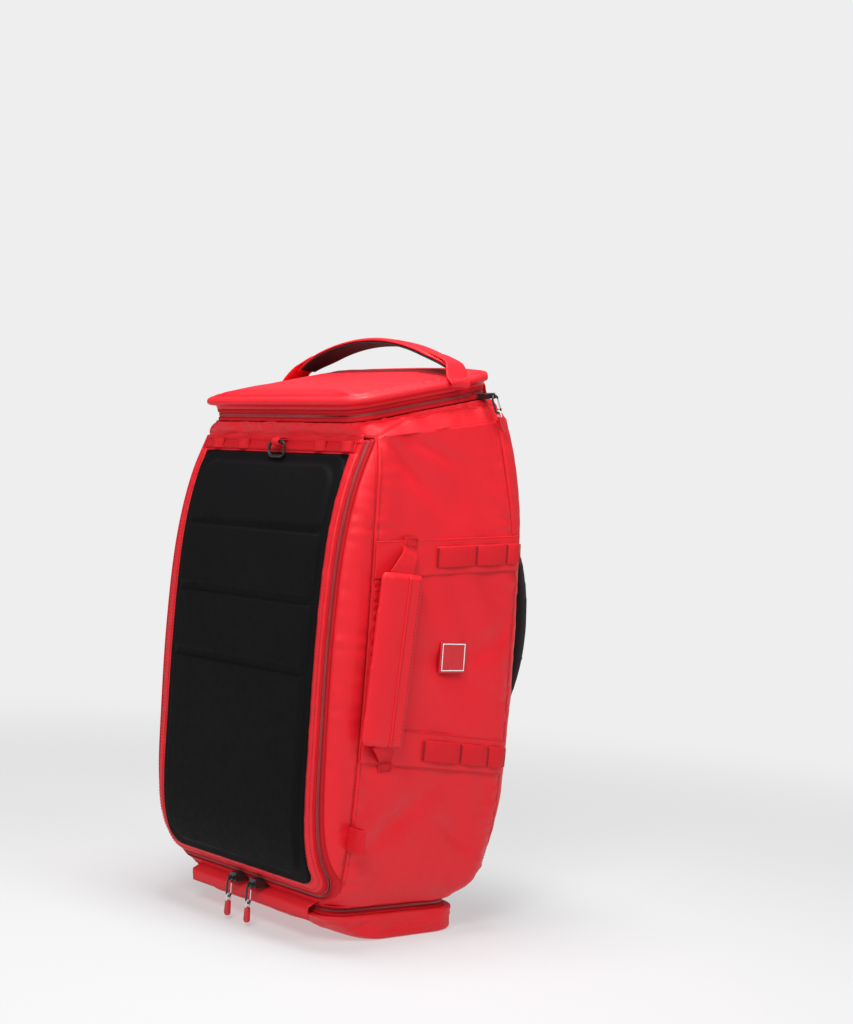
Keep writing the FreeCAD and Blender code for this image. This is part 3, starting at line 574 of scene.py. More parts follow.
RED, RED_LIGHT = (0.70, 0.008, 0.016), (0.82, 0.014, 0.026)
red_fabric = finish(
    "red_coated_fabric", RED, RED_LIGHT, 0.48, pitch=0.0011, weave=0.10, grain=0.35, uv=True,
    specular=0.30, height=0.0002
)
red_webbing = finish(
    "red_webbing", (0.62, 0.007, 0.014), (0.74, 0.012, 0.022), 0.62, pitch=0.0016, rib=0.5, weave=0.5,
    uv=True, specular=0.22, height=0.0003
)
zip_tape = finish(
    "zip_tape", (0.58, 0.007, 0.013), (0.70, 0.011, 0.020), 0.7, specular=0.2, pitch=0.0010, rib=0.4,
    weave=0.5, uv=True, height=0.0003
)
zip_teeth = finish(
    "zip_teeth", (0.44, 0.055, 0.065), (0.56, 0.12, 0.13), 0.4, weave=0.0, size=0.02, specular=0.6,
    height=0.0001
)
red_thread = finish(
    "red_thread", (0.34, 0.006, 0.010), (0.44, 0.011, 0.015), 0.6, weave=0.0, size=0.01, height=0.0001
)
moulded_black = finish(
    "moulded_black", (0.0030, 0.0028, 0.0034), (0.0052, 0.0050, 0.0058), 0.72, pitch=0.0009, weave=0.25,
    grain=0.2, uv=True, specular=0.10, height=0.0001
)
black_fabric = finish(
    "black_fabric", (0.010, 0.010, 0.011), (0.02, 0.02, 0.022), 0.8, pitch=0.0012, weave=0.0, grain=0.8,
    size=0.06, height=0.0003
)
black_webbing = finish(
    "black_webbing", (0.010, 0.010, 0.011), (0.022, 0.022, 0.023), 0.7, pitch=0.0016, rib=0.5, weave=0.6,
    uv=True, height=0.0004
)
black_plastic = finish(
    "black_plastic", (0.010, 0.010, 0.010), (0.016, 0.016, 0.016), 0.42, weave=0.0, grain=0.3, size=0.02,
    height=0.0001
)
black_metal = finish(
    "black_metal", (0.012, 0.012, 0.012), (0.022, 0.022, 0.022), 0.34, weave=0.0, grain=0.15, size=0.01,
    metallic=0.0, coat=0.3, height=0.00005
)
bright_wire = finish(
    "bright_wire", (0.62, 0.62, 0.64), (0.75, 0.75, 0.76), 0.3, weave=0.0, grain=0.1, size=0.01,
    metallic=1.0, height=0.00005
)
white_cord = finish(
    "white_cord", (0.74, 0.74, 0.74), (0.86, 0.86, 0.86), 0.7, pitch=0.0006, weave=0.7, size=0.01,
    height=0.0002
)
red_rubber = finish(
    "red_rubber", (0.56, 0.010, 0.016), (0.66, 0.016, 0.022), 0.42, weave=0.0, grain=0.25, size=0.015,
    height=0.00008
)
white_print = finish(
    "white_print", (0.78, 0.78, 0.78), (0.86, 0.86, 0.86), 0.5, weave=0.0, size=0.01, height=0.00005
)
grey_lining = finish(
    "grey_lining", (0.09, 0.09, 0.095), (0.14, 0.14, 0.145), 0.8, pitch=0.0012, weave=0.0, grain=0.6,
    height=0.0003
)
print("finishes", len(bpy.data.materials))

# %% [markdown]
# ## The sewn shell
# Side panels, front gusset, back panel and collar are separate pieces of cloth. Each is a part of
# the same surface between its own seam lines, so that neighbours meet. Cloth that hangs slack
# between seams has soft folds: long ones down the panels, short ones where seams gather it.

# %% Folds and seams
LEVELS = len(SECTIONS) - 1.0
SHELL_THICK, TAPE_THICK = 0.003, 0.0012
SEAM_WIDE = 0.0024


def smooth_step(value, low, high):
    """0 below low, 1 above high and a smooth curve between."""
    f = np.clip((value - low) / (high - low), 0, 1)
    return f * f * (3 - 2 * f)


def folds(points, seam_gap, depth=0.0022):
    """Depth of the cloth's folds at each point: slow noise stretched upwards, fading towards the seams."""
    tall = noise3(points * [1, 1, 0.35], 0.075, 3)
    slant = noise3(points @ np.array([[1, 0, 0], [0, 0.8, 0.6], [0, -0.6, 0.8]]).T * [1, 1, 0.4], 0.05, 8)
    crease = 1 - np.abs(noise3(points * [1, 1, 0.6], 0.11, 17))
    fade = np.exp(-seam_gap / 0.020) * smooth_step(seam_gap, 0.001, 0.006)
    pull = noise3(points * [0.4, 0.4, 1], 0.017, 29) * fade
    broad = 0.30 * tall + 0.45 * slant + 0.35 * crease
    return depth * (smooth_step(seam_gap, 0, 0.022) * broad + 0.55 * pull)


def dents(points, places):
    """Soft hollows in the cloth, rounded troughs: each is (y, z, length, width, slope, depth)."""
    total = 0.0
    for y, z, long, wide, slope, deep in places:
        dy, dz = points[..., 1] - y, points[..., 2] - z
        along, across = (
            dy * math.cos(slope) + dz * math.sin(slope), dz * math.cos(slope) - dy * math.sin(slope)
        )
        total = total + deep * np.exp(-((along / long) ** 2) - (across / wide) ** 2)
    return total


SIDE_DENTS = [
    (-0.055, 0.560, 0.045, 0.012, -0.7, 0.0060), (-0.030, 0.592, 0.050, 0.010, -0.35, 0.0045),
    (0.030, 0.545, 0.060, 0.030, -1.2, 0.0045), (0.085, 0.360, 0.050, 0.016, 0.5, 0.0040),
    (0.020, 0.330, 0.060, 0.014, -0.4, 0.0036), (-0.040, 0.150, 0.060, 0.016, 0.6, 0.0052),
    (0.050, 0.130, 0.050, 0.013, -0.5, 0.0045), (-0.060, 0.225, 0.040, 0.010, 0.2, 0.0030),
]


def side_grid(rows=190, cols=110):
    """Right side panel: levels up the body by distances from the front seam to the rear seam."""
    t = np.linspace(0, LEVELS, rows)
    row = section_at(t)
    s0, s1 = distance_to_y(row, SEAM_Y), distance_to_y(row, rear_seam_y(t))
    u = np.linspace(0, 1, cols)
    s = s0[:, None] + (s1 - s0)[:, None] * u
    grid = around(row[:, None, :] + 0 * s[..., None], s)
    gap = np.minimum(u, 1 - u)[None, :] * (s1 - s0)[:, None]
    seam = np.exp(-((gap / SEAM_WIDE) ** 2))
    sunk = dents(grid, SIDE_DENTS) * smooth_step(gap, 0, 0.02)
    return grid + normals_of(grid) * (folds(grid, gap, 0.0026) - 0.0020 * seam - sunk)[..., None]


def wall_grid(t, s_from, s_to, cols, depth=0.0022):
    """Part of the body between two distances, given for each level."""
    row = section_at(t)
    u = np.linspace(0, 1, cols)
    s = s_from[:, None] + (s_to - s_from)[:, None] * u
    grid = around(row[:, None, :] + 0 * s[..., None], s)
    gap = np.minimum(u, 1 - u)[None, :] * np.abs(s_to - s_from)[:, None]
    return grid + normals_of(grid) * (
        folds(grid, gap, depth) - 0.0018 * np.exp(-((gap / SEAM_WIDE) ** 2))
    )[..., None]


side = side_grid()
piece(
    "right_side_cloth", [(side, False, False)], red_fabric, "bag", "red_fabric", ["right_side_panel"],
    thick=SHELL_THICK
)
piece(
    "left_side_cloth", [(mirror_x(side), False, False)], red_fabric, "bag", "red_fabric",
    ["left_side_panel"], thick=SHELL_THICK
)

# %% [markdown]
# ## The gusset
# The gusset is the strip of shell between the front zip and the side seams. Its inner edge follows
# the port's round corners, so each level of the body is cut at the width that the port has there.

# %% Gusset round the front zip
PORT_HALF, PORT_LOW, CORNER, NECK_Z = 0.166, 0.054, 0.034, 0.592


def outline_half(z, half, low, corner):
    """Half width at height z of a rectangle with round lower corners."""
    drop = np.clip(low + corner - z, 0, corner)
    return half - corner + np.sqrt(np.maximum(corner**2 - drop**2, 0))


def front_distance(row, x):
    """Distance along the outline at which a section's front or front corner reaches half width x."""
    straight = row[..., 4] - FRONT_CORNER
    turn = np.arcsin(np.clip((x - straight) / FRONT_CORNER, 0, 1))
    return np.where(x < straight, x, straight + FRONT_CORNER * turn)


ease = (1 - np.cos(np.linspace(0, math.pi / 2, 26))) * CORNER
z_levels = np.concatenate([PORT_LOW + ease, np.linspace(PORT_LOW + CORNER, 0.5935, 150)[1:]])
t = level_for(z_levels)
row = section_at(t)
inner = front_distance(row, outline_half(z_levels, PORT_HALF, PORT_LOW, CORNER))
outer = distance_to_y(row, SEAM_Y)
upright = wall_grid(t, inner, outer, 22, 0.0016)
t_foot = level_for(np.linspace(0.0461, PORT_LOW, 6))
reach = distance_to_y(section_at(t_foot), SEAM_Y)
foot = wall_grid(t_foot, -reach, reach, 160, 0.0006)
piece(
    "gusset_cloth", [(upright, False, False), (mirror_x(upright), False, False), (foot, False, False)],
    red_fabric, "bag", "red_fabric", ["front_gusset"], thick=SHELL_THICK
)

# %% [markdown]
# ## The back panel and the collar
# The back runs from one rear seam round to the other. The collar closes the body up to the rim of the
# mouth: it is a blend of the body's last section and the rim, gathered where it is sewn to the rim.

# %% Back and collar
t = np.linspace(0, LEVELS, 170)
row = section_at(t)
right_back = wall_grid(t, distance_to_y(row, rear_seam_y(t)), half_round(row), 70, 0.0012)
piece(
    "back_cloth", [(right_back, False, False), (mirror_x(right_back), False, False)], red_fabric, "bag",
    "red_fabric", ["back_panel"], thick=SHELL_THICK
)


def rim_outline(row, grow, count):
    """A section's whole outline as evenly spaced points, starting at the middle of the back."""
    s = np.linspace(-half_round(row), half_round(row), count, endpoint=False)
    return around(row[None, :] + 0 * s[:, None], s, grow)


SHOULDER_Y = (-0.112, -0.108, -0.088, -0.060, -0.020, 0.040, 0.088, 0.110, 0.125)
SHOULDER_U = (0.0, 0.05, 0.36, 0.66, 0.86, 0.84, 0.60, 0.25, 0.0)


def collar_grid(rows=36, cols=520):
    """Neck of the bag, from the body's last section to the rim of the mouth.

    The side panels' upper seam arches over it.
    """
    u = np.linspace(0, 1, rows)[:, None]
    low, high = rim_outline(SECTIONS[-1], 0, cols), rim_outline(MOUTH, 0, cols)
    grid = low[None] * (1 - u[..., None]) + high[None] * u[..., None]
    seam = np.interp(grid[..., 1], SHOULDER_Y, SHOULDER_U)
    fade = np.sin(math.pi * u)
    gather = noise3(grid * [1, 1, 0.3], 0.034, 21) * 0.0013 * fade
    pinch = noise3(grid, 0.013, 22) * 0.0005 * smooth_step(u, 0.55, 0.95)
    groove = np.exp(-(((u - seam) / 0.075) ** 2))
    return grid + normals_of(grid) * (gather + pinch - 0.0020 * groove + 0.0012 * fade)[..., None]


piece(
    "collar_cloth", [(collar_grid(), False, True)], red_fabric, "bag", "red_fabric", ["collar"],
    thick=SHELL_THICK
)

# %% [markdown]
# ## The front cover and its zip
# The cover fills a U-shaped port in the shell and is sewn along its top. A coil zip runs round the
# U, one tape on the shell and one on the cover. Both follow the same path, so a profile carried
# along that U gives every strip: tapes, hems, the bound edge and the rows of teeth.

# %% The U path
def front_surface(x, z, grow=0.0):
    """Points on the body's front over half width x and height z, standing out by grow."""
    row = section_at(level_for(z))
    return around(row, np.sign(x) * front_distance(row, np.abs(x)), grow)


def u_outline(inset, top, steps=(150, 16, 80)):
    """Half widths and heights of the U, drawn in from the port's edge: down, round and up."""
    half, low, corner = PORT_HALF - inset, PORT_LOW + inset, CORNER - inset
    side_n, turn_n, foot_n = steps
    z_side = np.linspace(top, low + corner, side_n)
    turn = np.linspace(0, math.pi / 2, turn_n)[1:]
    x_turn, z_turn = half - corner + corner * np.cos(turn), low + corner - corner * np.sin(turn)
    x_foot = np.linspace(-(half - corner), half - corner, foot_n)[1:-1]
    x = np.concatenate([np.full(side_n, -half), -x_turn, x_foot, x_turn[::-1], np.full(side_n, half)])
    z = np.concatenate([z_side, z_turn, np.full(len(x_foot), low), z_turn[::-1], z_side[::-1]])
    return x, z


def u_strip(profile, top):
    """Grid of a strip along the U: each profile entry is an inset and a height over the shell."""
    rows = []
    for inset, height in profile:
        x, z = u_outline(inset, top)
        rows.append(front_surface(x, z, np.full(len(x), height)))
    return np.stack(rows)


def even_path(points, pitch):
    """Places along a line at an even pitch: positions, directions and shares of the way."""
    gaps = np.linalg.norm(np.diff(points, axis=0), axis=1)
    run = np.concatenate([[0], np.cumsum(gaps)])
    where = np.arange(pitch / 2, run[-1], pitch)
    at = np.stack([np.interp(where, run, points[:, k]) for k in range(3)], -1)
    ahead = np.stack([np.interp(where + pitch / 4, run, points[:, k]) for k in range(3)], -1)
    behind = np.stack([np.interp(where - pitch / 4, run, points[:, k]) for k in range(3)], -1)
    way = ahead - behind
    return at, way / np.maximum(np.linalg.norm(way, axis=1, keepdims=True), 1e-9), where / run[-1]


print("length round the U", even_path(front_surface(*u_outline(0.0, NECK_Z)), 0.01)[0].shape[0], "cm")

# %% [markdown]
# ## Teeth and stitches
# Zip teeth and stitches are the same thing at different sizes: small bars at an even pitch along a
# line, each standing on the surface. All bars of a row share one mesh, because there are thousands.

# %% Rows of small bars
def directions_at(share, vectors):
    """Unit vectors at shares of the way along a line, from the vectors given at its points."""
    run = np.linspace(0, 1, len(vectors))
    out = np.stack([np.interp(share, run, vectors[:, k]) for k in range(3)], -1)
    return out / np.linalg.norm(out, axis=1, keepdims=True)


def pegs(name, at, along, across, out, size, material, body):
    """Many small bars in one mesh, each a box from its centre and three directions."""
    a, b, c = size
    shape = np.array(
        [
            (-1, -1, 0), (1, -1, 0), (1, 1, 0), (-1, 1, 0), (-0.7, -0.6, 1), (0.7, -0.6, 1),
            (0.7, 0.6, 1), (-0.7, 0.6, 1)
        ]
    ) * [a / 2, b / 2, c]
    corners = at[:, None] + shape[None, :, :1] * along[:, None] + shape[
        None, :, 1:2
    ] * across[:, None] + shape[None, :, 2:] * out[:, None]
    sides = np.array([(0, 3, 2, 1), (4, 5, 6, 7), (0, 1, 5, 4), (1, 2, 6, 5), (2, 3, 7, 6), (3, 0, 4, 7)])
    faces = (np.arange(len(at))[:, None, None] * 8 + sides[None]).reshape(-1, 4)
    mesh = bpy.data.meshes.new(name)
    mesh.from_pydata(corners.reshape(-1, 3), [], faces.tolist())
    mesh.materials.append(material)
    obj = bpy.data.objects.new(name, mesh)
    bpy.context.scene.collection.objects.link(obj)
    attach(obj, body)
    print(name, "bars", len(at))
    return obj


def stitches(name, lines, material, body, pitch=0.0042, size=(0.0030, 0.0008, 0.0005)):
    """Rows of thread: lines is a list of (points, outward normals)."""
    ats, ways, outs = [], [], []
    for points, normals in lines:
        at, way, share = even_path(points, pitch)
        ats.append(at)
        ways.append(way)
        outs.append(directions_at(share, normals))
    at, way, out = np.concatenate(ats), np.concatenate(ways), np.concatenate(outs)
    return pegs(name, at, way, np.cross(out, way), out, size, material, body)


TOOTH_PITCH, TOOTH_LONG, TOOTH_TALL = 0.0017, 0.0010, 0.0012


def teeth(name, line, outward, body, second, wide=0.0016):
    """One row of coil teeth along a line; the second row of a zip is set off by half a pitch."""
    at, way, share = even_path(line, TOOTH_PITCH)
    out = directions_at(share, outward)
    size = (TOOTH_LONG, wide, TOOTH_TALL)
    pegs(name, at + way * TOOTH_PITCH / 2 * second, way, np.cross(out, way), out, size, zip_teeth, body)

# %% [markdown]
# ## The front zip
# Each tape is folded over the teeth, so its profile rises from the cloth, turns and drops beside
# them. The shell's tape covers the outer half of the gap and the cover's tape the inner half.

# %% Front zip
TOP = NECK_Z - 0.0006
body_tape = u_strip(
    [
        (-0.0010, -0.0024), (-0.0010, 0.0006), (0.0, 0.0016), (0.0012, 0.0014), (0.0018, -0.0008),
        (0.0044, -0.0012), (0.0044, -0.0030)
    ],
    NECK_Z
)
piece(
    "front_zip_shell_tape", [(body_tape, False, False)], zip_tape, "bag", "zip_tape",
    ["front_zip_body_tape"], thick=0.0010
)
cover_tape = u_strip(
    [
        (0.0050, -0.0030), (0.0050, -0.0012), (0.0084, -0.0008), (0.0090, 0.0010), (0.0102, 0.0014),
        (0.0110, 0.0004)
    ],
    TOP
)
piece(
    "front_zip_cover_side_tape", [(cover_tape, False, False)], zip_tape, "front_cover", "zip_tape",
    ["front_zip_cover_tape"], thick=0.0010
)
for name, inset, body, second in (
    ("front_zip_teeth_shell", 0.0040, "bag", 0), ("front_zip_teeth_cover", 0.0056, "front_cover", 1)
):
    x, z = u_outline(inset, TOP - 0.002)
    line = front_surface(x, z, np.full(len(x), -0.0010))
    teeth(name, line, front_surface(x, z, np.full(len(x), 0.0090)) - line, body, second, wide=0.0017)

# %% [markdown]
# ## The cover's cloth
# The cover is one sheet, with a folded strip bound over its edge and held by two rows of stitches.
# The sheet is drawn at each height as wide as the U is there, and the strip is carried along the U.

# %% Cover fabric and its bound edge
BORDER_INSET, PANEL_HALF, PANEL_LOW, PANEL_TOP = 0.010, 0.144, 0.070, 0.574


def cover_grid(half, low, top, corner, rows, cols):
    """A sheet over the front whose width follows the round lower corners at each height."""
    z = np.concatenate(
        [
            low + (1 - np.cos(np.linspace(0, math.pi / 2, 16))) * corner,
            np.linspace(low + corner, top, rows)[1:]
        ]
    )
    u = np.linspace(-1, 1, cols)
    x = outline_half(z, half, low, corner)[:, None] * u[None, :]
    return front_surface(x, z[:, None] + 0 * x)


cover = cover_grid(PORT_HALF - BORDER_INSET, PORT_LOW + BORDER_INSET, TOP, CORNER - BORDER_INSET, 130, 90)
piece(
    "cover_cloth", [(cover, False, False)], red_fabric, "front_cover", "red_fabric",
    ["front_cover_fabric"], thick=0.0045
)
edge = [
    (0.0098, 0.0), (0.0100, 0.0016), (0.0112, 0.0028), (0.0140, 0.0034), (0.0185, 0.0034),
    (0.0212, 0.0030), (0.0222, 0.0022), (0.0224, 0.0)
]
binding = u_strip(edge, PANEL_TOP + 0.001)
binding = binding + normals_of(binding) * (noise3(binding, 0.02, 31) * 0.0003)[..., None]
piece(
    "cover_binding", [(binding, False, False)], red_fabric, "front_cover", "red_fabric",
    ["front_cover_binding"], thick=0.0006
)
lines = []
for inset, height in ((0.0130, 0.0034), (0.0200, 0.0034)):
    x, z = u_outline(inset, PANEL_TOP - 0.002)
    line = front_surface(x, z, np.full(len(x), height))
    lines.append((line, front_surface(x, z, np.full(len(x), 0.02)) - line))
stitches("cover_binding_stitches", lines, red_thread, "front_cover")

# %% [markdown]
# ## The moulded panel
# A sheet of foam faced with black cloth is pressed hot, which leaves a flat rim, a raised field and
# three sunk channels across it. Its height over the shell is a sum of smooth steps: one up from the
# edge, one up to the field, and one down and up again at each channel.

# %% Moulded panel
GROOVES, GROOVE_TALL, GROOVE_DEEP, GROOVE_HALF = (0.319, 0.401, 0.484), 0.010, 0.0034, 0.1315
PANEL_CORNER, PANEL_TOP_CORNER, FIELD_INSET, FIELD_CORNER = 0.022, 0.006, 0.0115, 0.028


def inside_distance(x, z, half, low, top, corner):
    """Distance in from the edge of a rectangle with round corners."""
    qx = np.abs(x) - (half - corner)
    qz = np.abs(z - (low + top) / 2) - ((top - low) / 2 - corner)
    return corner - np.hypot(np.maximum(qx, 0), np.maximum(qz, 0)) - np.minimum(np.maximum(qx, qz), 0)


z = np.concatenate(
    [
        PANEL_LOW + (1 - np.cos(np.linspace(0, math.pi / 2, 20))) * PANEL_CORNER,
        np.linspace(PANEL_LOW + PANEL_CORNER, PANEL_TOP - PANEL_TOP_CORNER, 280)[1:],
        PANEL_TOP - PANEL_TOP_CORNER + np.sin(np.linspace(0, math.pi / 2, 8))[1:] * PANEL_TOP_CORNER
    ]
)
near_top = np.clip(z - PANEL_TOP + PANEL_TOP_CORNER, 0, PANEL_TOP_CORNER)
half = np.minimum(
    outline_half(z, PANEL_HALF, PANEL_LOW, PANEL_CORNER),
    PANEL_HALF - PANEL_TOP_CORNER + np.sqrt(np.maximum(PANEL_TOP_CORNER**2 - near_top**2, 0))
)
u = crowded(150, 0.86)
x = half[:, None] * u[None, :]
zz = z[:, None] + 0 * x
rim_gap = inside_distance(x, zz, PANEL_HALF, PANEL_LOW, PANEL_TOP, PANEL_CORNER)
field_gap = inside_distance(
    x, zz, PANEL_HALF - FIELD_INSET, PANEL_LOW + FIELD_INSET, PANEL_TOP - FIELD_INSET, FIELD_CORNER
)
height = 0.0008 + 0.0036 * smooth_step(rim_gap, 0.0, 0.003)
height += 0.0050 * smooth_step(field_gap, -0.0015, 0.0045)
for level in GROOVES:
    across_gap = GROOVE_TALL / 2 - np.abs(zz - level)
    end_gap = GROOVE_HALF - np.abs(x)
    height -= GROOVE_DEEP * smooth_step(across_gap, -0.0014, 0.0016) * smooth_step(end_gap, -0.002, 0.003)
height += 0.0012 * np.cos(np.clip(x / 0.15, -1, 1) * math.pi / 2) * smooth_step(field_gap, 0, 0.02)
panel = front_surface(x, zz, height)
piece(
    "moulded_panel", [(panel, False, False)], moulded_black, "front_cover", "black_moulded_foam",
    ["front_moulded_panel"], thick=0.0008
)

# %% [markdown]
# ## The fold that the cover turns on
# Along its top the cover is sewn to the collar, and the cloth there is its hinge. The fold is a strip
# over that seam.

# %% Fold above the cover
def neck_point(x, u, grow):
    """Points on the front of the collar at share u of its height."""
    row = SECTIONS[-1] * (1 - u) + MOUTH * u
    return around(row + 0 * np.asarray(x)[..., None], np.asarray(x), grow)


x = np.linspace(-0.1545, 0.1545, 120)
fold = [
    front_surface(x, 0.5875 + 0 * x, 0.0006), front_surface(x, 0.5893 + 0 * x, 0.0013),
    front_surface(x, 0.5910 + 0 * x, 0.0010)
]
fold += [
    (front_surface(x, 0.5922 + 0 * x, 0.0) + [0, -0.0001, 0]), neck_point(x, 0.03, 0.0002),
    neck_point(x, 0.10, 0.0012), neck_point(x, 0.19, 0.0010)
]
cover_fold = piece(
    "cover_hinge_fold", [(np.stack(fold), False, False)], red_fabric, None, "red_fabric", thick=0.0008
)
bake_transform(cover_fold)

# %% [markdown]
# ## The padded lid
# The lid follows the rim of the mouth, which slopes up to the back. Its outline is a rectangle with
# round corners in that sloping plane. Rings of that outline, drawn in and raised step by step, make
# the closed cover of the pad; a low wall under it carries the zip.

# %% Lid outline
LID_FRONT = Vector((0, MOUTH[1], MOUTH[0]))
LID_RISE = Vector((0, MOUTH[3] - MOUTH[1], MOUTH[2] - MOUTH[0]))
LID_LENGTH = LID_RISE.length
LID_RISE.normalize()
LID_UP = Vector((1, 0, 0)).cross(LID_RISE)
PAD_FOOT, PAD_RIM, PAD_CROWN, OVERHANG, REAR_OVERHANG = 0.015, 0.015, 0.007, 0.009, 0.002


def rounded_loop(corners, radii, turn_n=10, side_n=26):
    """A closed outline through corners in order, each rounded by its radius, with evenly split sides."""
    corners = np.asarray(corners, float)
    out, ends = [], []
    for k, radius in enumerate(radii):
        here = corners[k]
        back, on = corners[k - 1] - here, corners[(k + 1) % len(corners)] - here
        back_n, on_n = back / np.linalg.norm(back), on / np.linalg.norm(on)
        half_turn = math.acos(np.clip(back_n @ on_n, -1, 1)) / 2
        reach = min(radius / math.tan(half_turn), 0.49 * np.linalg.norm(back), 0.49 * np.linalg.norm(on))
        radius = reach * math.tan(half_turn)
        centre = here + (back_n + on_n) / np.linalg.norm(back_n + on_n) * radius / math.sin(half_turn)
        first, last = here + back_n * reach - centre, here + on_n * reach - centre
        start = math.atan2(first[1], first[0])
        sweep = (math.atan2(last[1], last[0]) - start + math.pi) % (2 * math.pi) - math.pi
        angle = start + sweep * np.linspace(0, 1, turn_n)
        ends.append(centre + radius * np.stack([np.cos(angle), np.sin(angle)], -1))
    for k, arc in enumerate(ends):
        follow = ends[(k + 1) % len(ends)][0]
        share = np.linspace(0, 1, side_n)[1:-1, None]
        out += [arc, arc[-1] * (1 - share) + follow * share]
    return np.concatenate(out)


def lid_ring(grow, height):
    """Outline round the mouth, counter-clockwise from above, grown outwards and raised off the rim."""
    front, rear = MOUTH[4] + grow, MOUTH[5] + grow
    back = LID_LENGTH + min(grow, REAR_OVERHANG)
    r_front, r_rear = max(0.012, FRONT_CORNER + grow), max(0.012, REAR_CORNER + grow)
    loop = rounded_loop(
        [(rear, back), (-rear, back), (-front, -grow), (front, -grow)],
        [r_rear, r_rear, r_front, r_front], 12, 60
    )
    return (
        np.array(LID_FRONT) + loop[:, :1] * [1, 0, 0] + loop[:, 1:] * np.array(LID_RISE) + height
        * np.array(LID_UP)
    )


def lid_point(x, v, h):
    """A point in the lid's own plane, v along it and h above the rim of the mouth."""
    return np.array(LID_FRONT) + np.array(LID_RISE) * v + np.array(LID_UP) * h + np.array([x, 0, 0])


def stack(profile):
    """Grid of rings, one for each (grow, height) of a profile."""
    return np.stack([lid_ring(grow, height) for grow, height in profile])


def smooth_through(points, steps):
    """Smooth curve through points, by a Catmull-Rom rule, with some steps from each to the next.

    Each stretch is a cubic whose slope at its ends is half the way between the points beside them.
    """
    p = np.array([points[0]] + list(points) + [points[-1]], float)
    f = np.linspace(0, 1, steps + 1)[:-1, None]
    parts = []
    for a, b, c, d in zip(p, p[1:], p[2:], p[3:]):
        bend, twist = 2 * a - 5 * b + 4 * c - d, 3 * b - a - 3 * c + d
        parts.append(0.5 * (2 * b + (c - a) * f + bend * f**2 + twist * f**3))
    return np.concatenate(parts + [p[-1:]])
print("lid length", round(LID_LENGTH, 4))

# %% [markdown]
# ## The lid's pad and rim
# The pad is a closed stack of outlines: a flat underside, an upright edge and a low crown. A roll of
# cloth runs round its edge, made of a smooth profile that is carried round the same outline.

# %% Lid pad and rim
top = PAD_FOOT + PAD_RIM
inward = np.linspace(0.012, 0.1135, 22)
crown = [
    (OVERHANG - d, top + 0.0035 + PAD_CROWN * 0.62 * (1 - math.exp(-(d - 0.012) / 0.03))) for d in inward
]
under = [(d, PAD_FOOT + 0.0006) for d in (-0.100, -0.080, -0.060, -0.040, -0.020, -0.0100)] + [
    (-0.0060, PAD_FOOT + 0.0020), (-0.0046, PAD_FOOT + 0.0060), (-0.0046, top - 0.0030),
    (-0.0042, top + 0.0010)
]
rim = smooth_through(
    [
        (-0.0028, PAD_FOOT + 0.0004), (-0.0018, PAD_FOOT + 0.0036), (0.0014, PAD_FOOT + 0.0058),
        (0.0056, PAD_FOOT + 0.0064), (0.0086, top - 0.0062), (0.0086, top - 0.0028),
        (0.0062, top - 0.0002), (0.0028, top + 0.0010), (0.0004, top + 0.0008), (-0.0018, top + 0.0024)
    ],
    6
)
rim_loop = [tuple(p) for p in rim] + [
    (-0.0050, top + 0.0004), (-0.0060, top - 0.0060), (-0.0060, PAD_FOOT + 0.0030)
]
piece("lid_rim_roll", [(stack(rim_loop), True, True)], red_fabric, "lid", "red_fabric")
pad = stack(under + crown)
middle = pad[-1].mean(0) + 0 * pad[-1]
pad = np.concatenate(
    [pad[:1].mean(1, keepdims=True) + 0 * pad[:1], pad]
    + [(pad[-1] * (1 - f) + middle * f)[None] for f in (0.35, 0.7, 1.0)]
)
lid_pad = piece("lid_pad", [(pad, False, True)], red_fabric, "lid", "red_fabric", ["lid_cover", "lid_foam"])


def lid_height(points):
    """Height of points above the rim of the mouth, square to the lid."""
    return (points - np.array(LID_FRONT)) @ np.array(LID_UP)


puff(lid_pad, lambda p: lid_height(p) < top + 0.0012, cap=0.0035)

# %% [markdown]
# ## What the lid turns on
# Behind, the lid is sewn to the collar by a plain strip of cloth.

# %% Lid's hinge strip
x = np.linspace(-0.125, 0.125, 80)
hinge_rows = []
for v, h in (
    (0.0042, -0.0085), (0.0050, -0.0040), (0.0052, 0.0), (0.0046, 0.0035), (0.0040, 0.0070),
    (0.0040, 0.0110), (0.0030, 0.0150)
):
    hinge_rows.append(np.stack([lid_point(px, LID_LENGTH + v, h) for px in x]))
lid_hinge_strip = piece(
    "lid_hinge_strip", [(np.stack(hinge_rows), False, False)], red_fabric, None, "red_fabric", flip=True,
    thick=0.0008
)
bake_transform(lid_hinge_strip)

# %% [markdown]
# ## The lid's zip
# The tapes are rings of the lid's own outline, one sewn to the collar and one to the lid. The teeth
# stand on the same outline, and the second row is set off by half a pitch, so that the rows mesh.

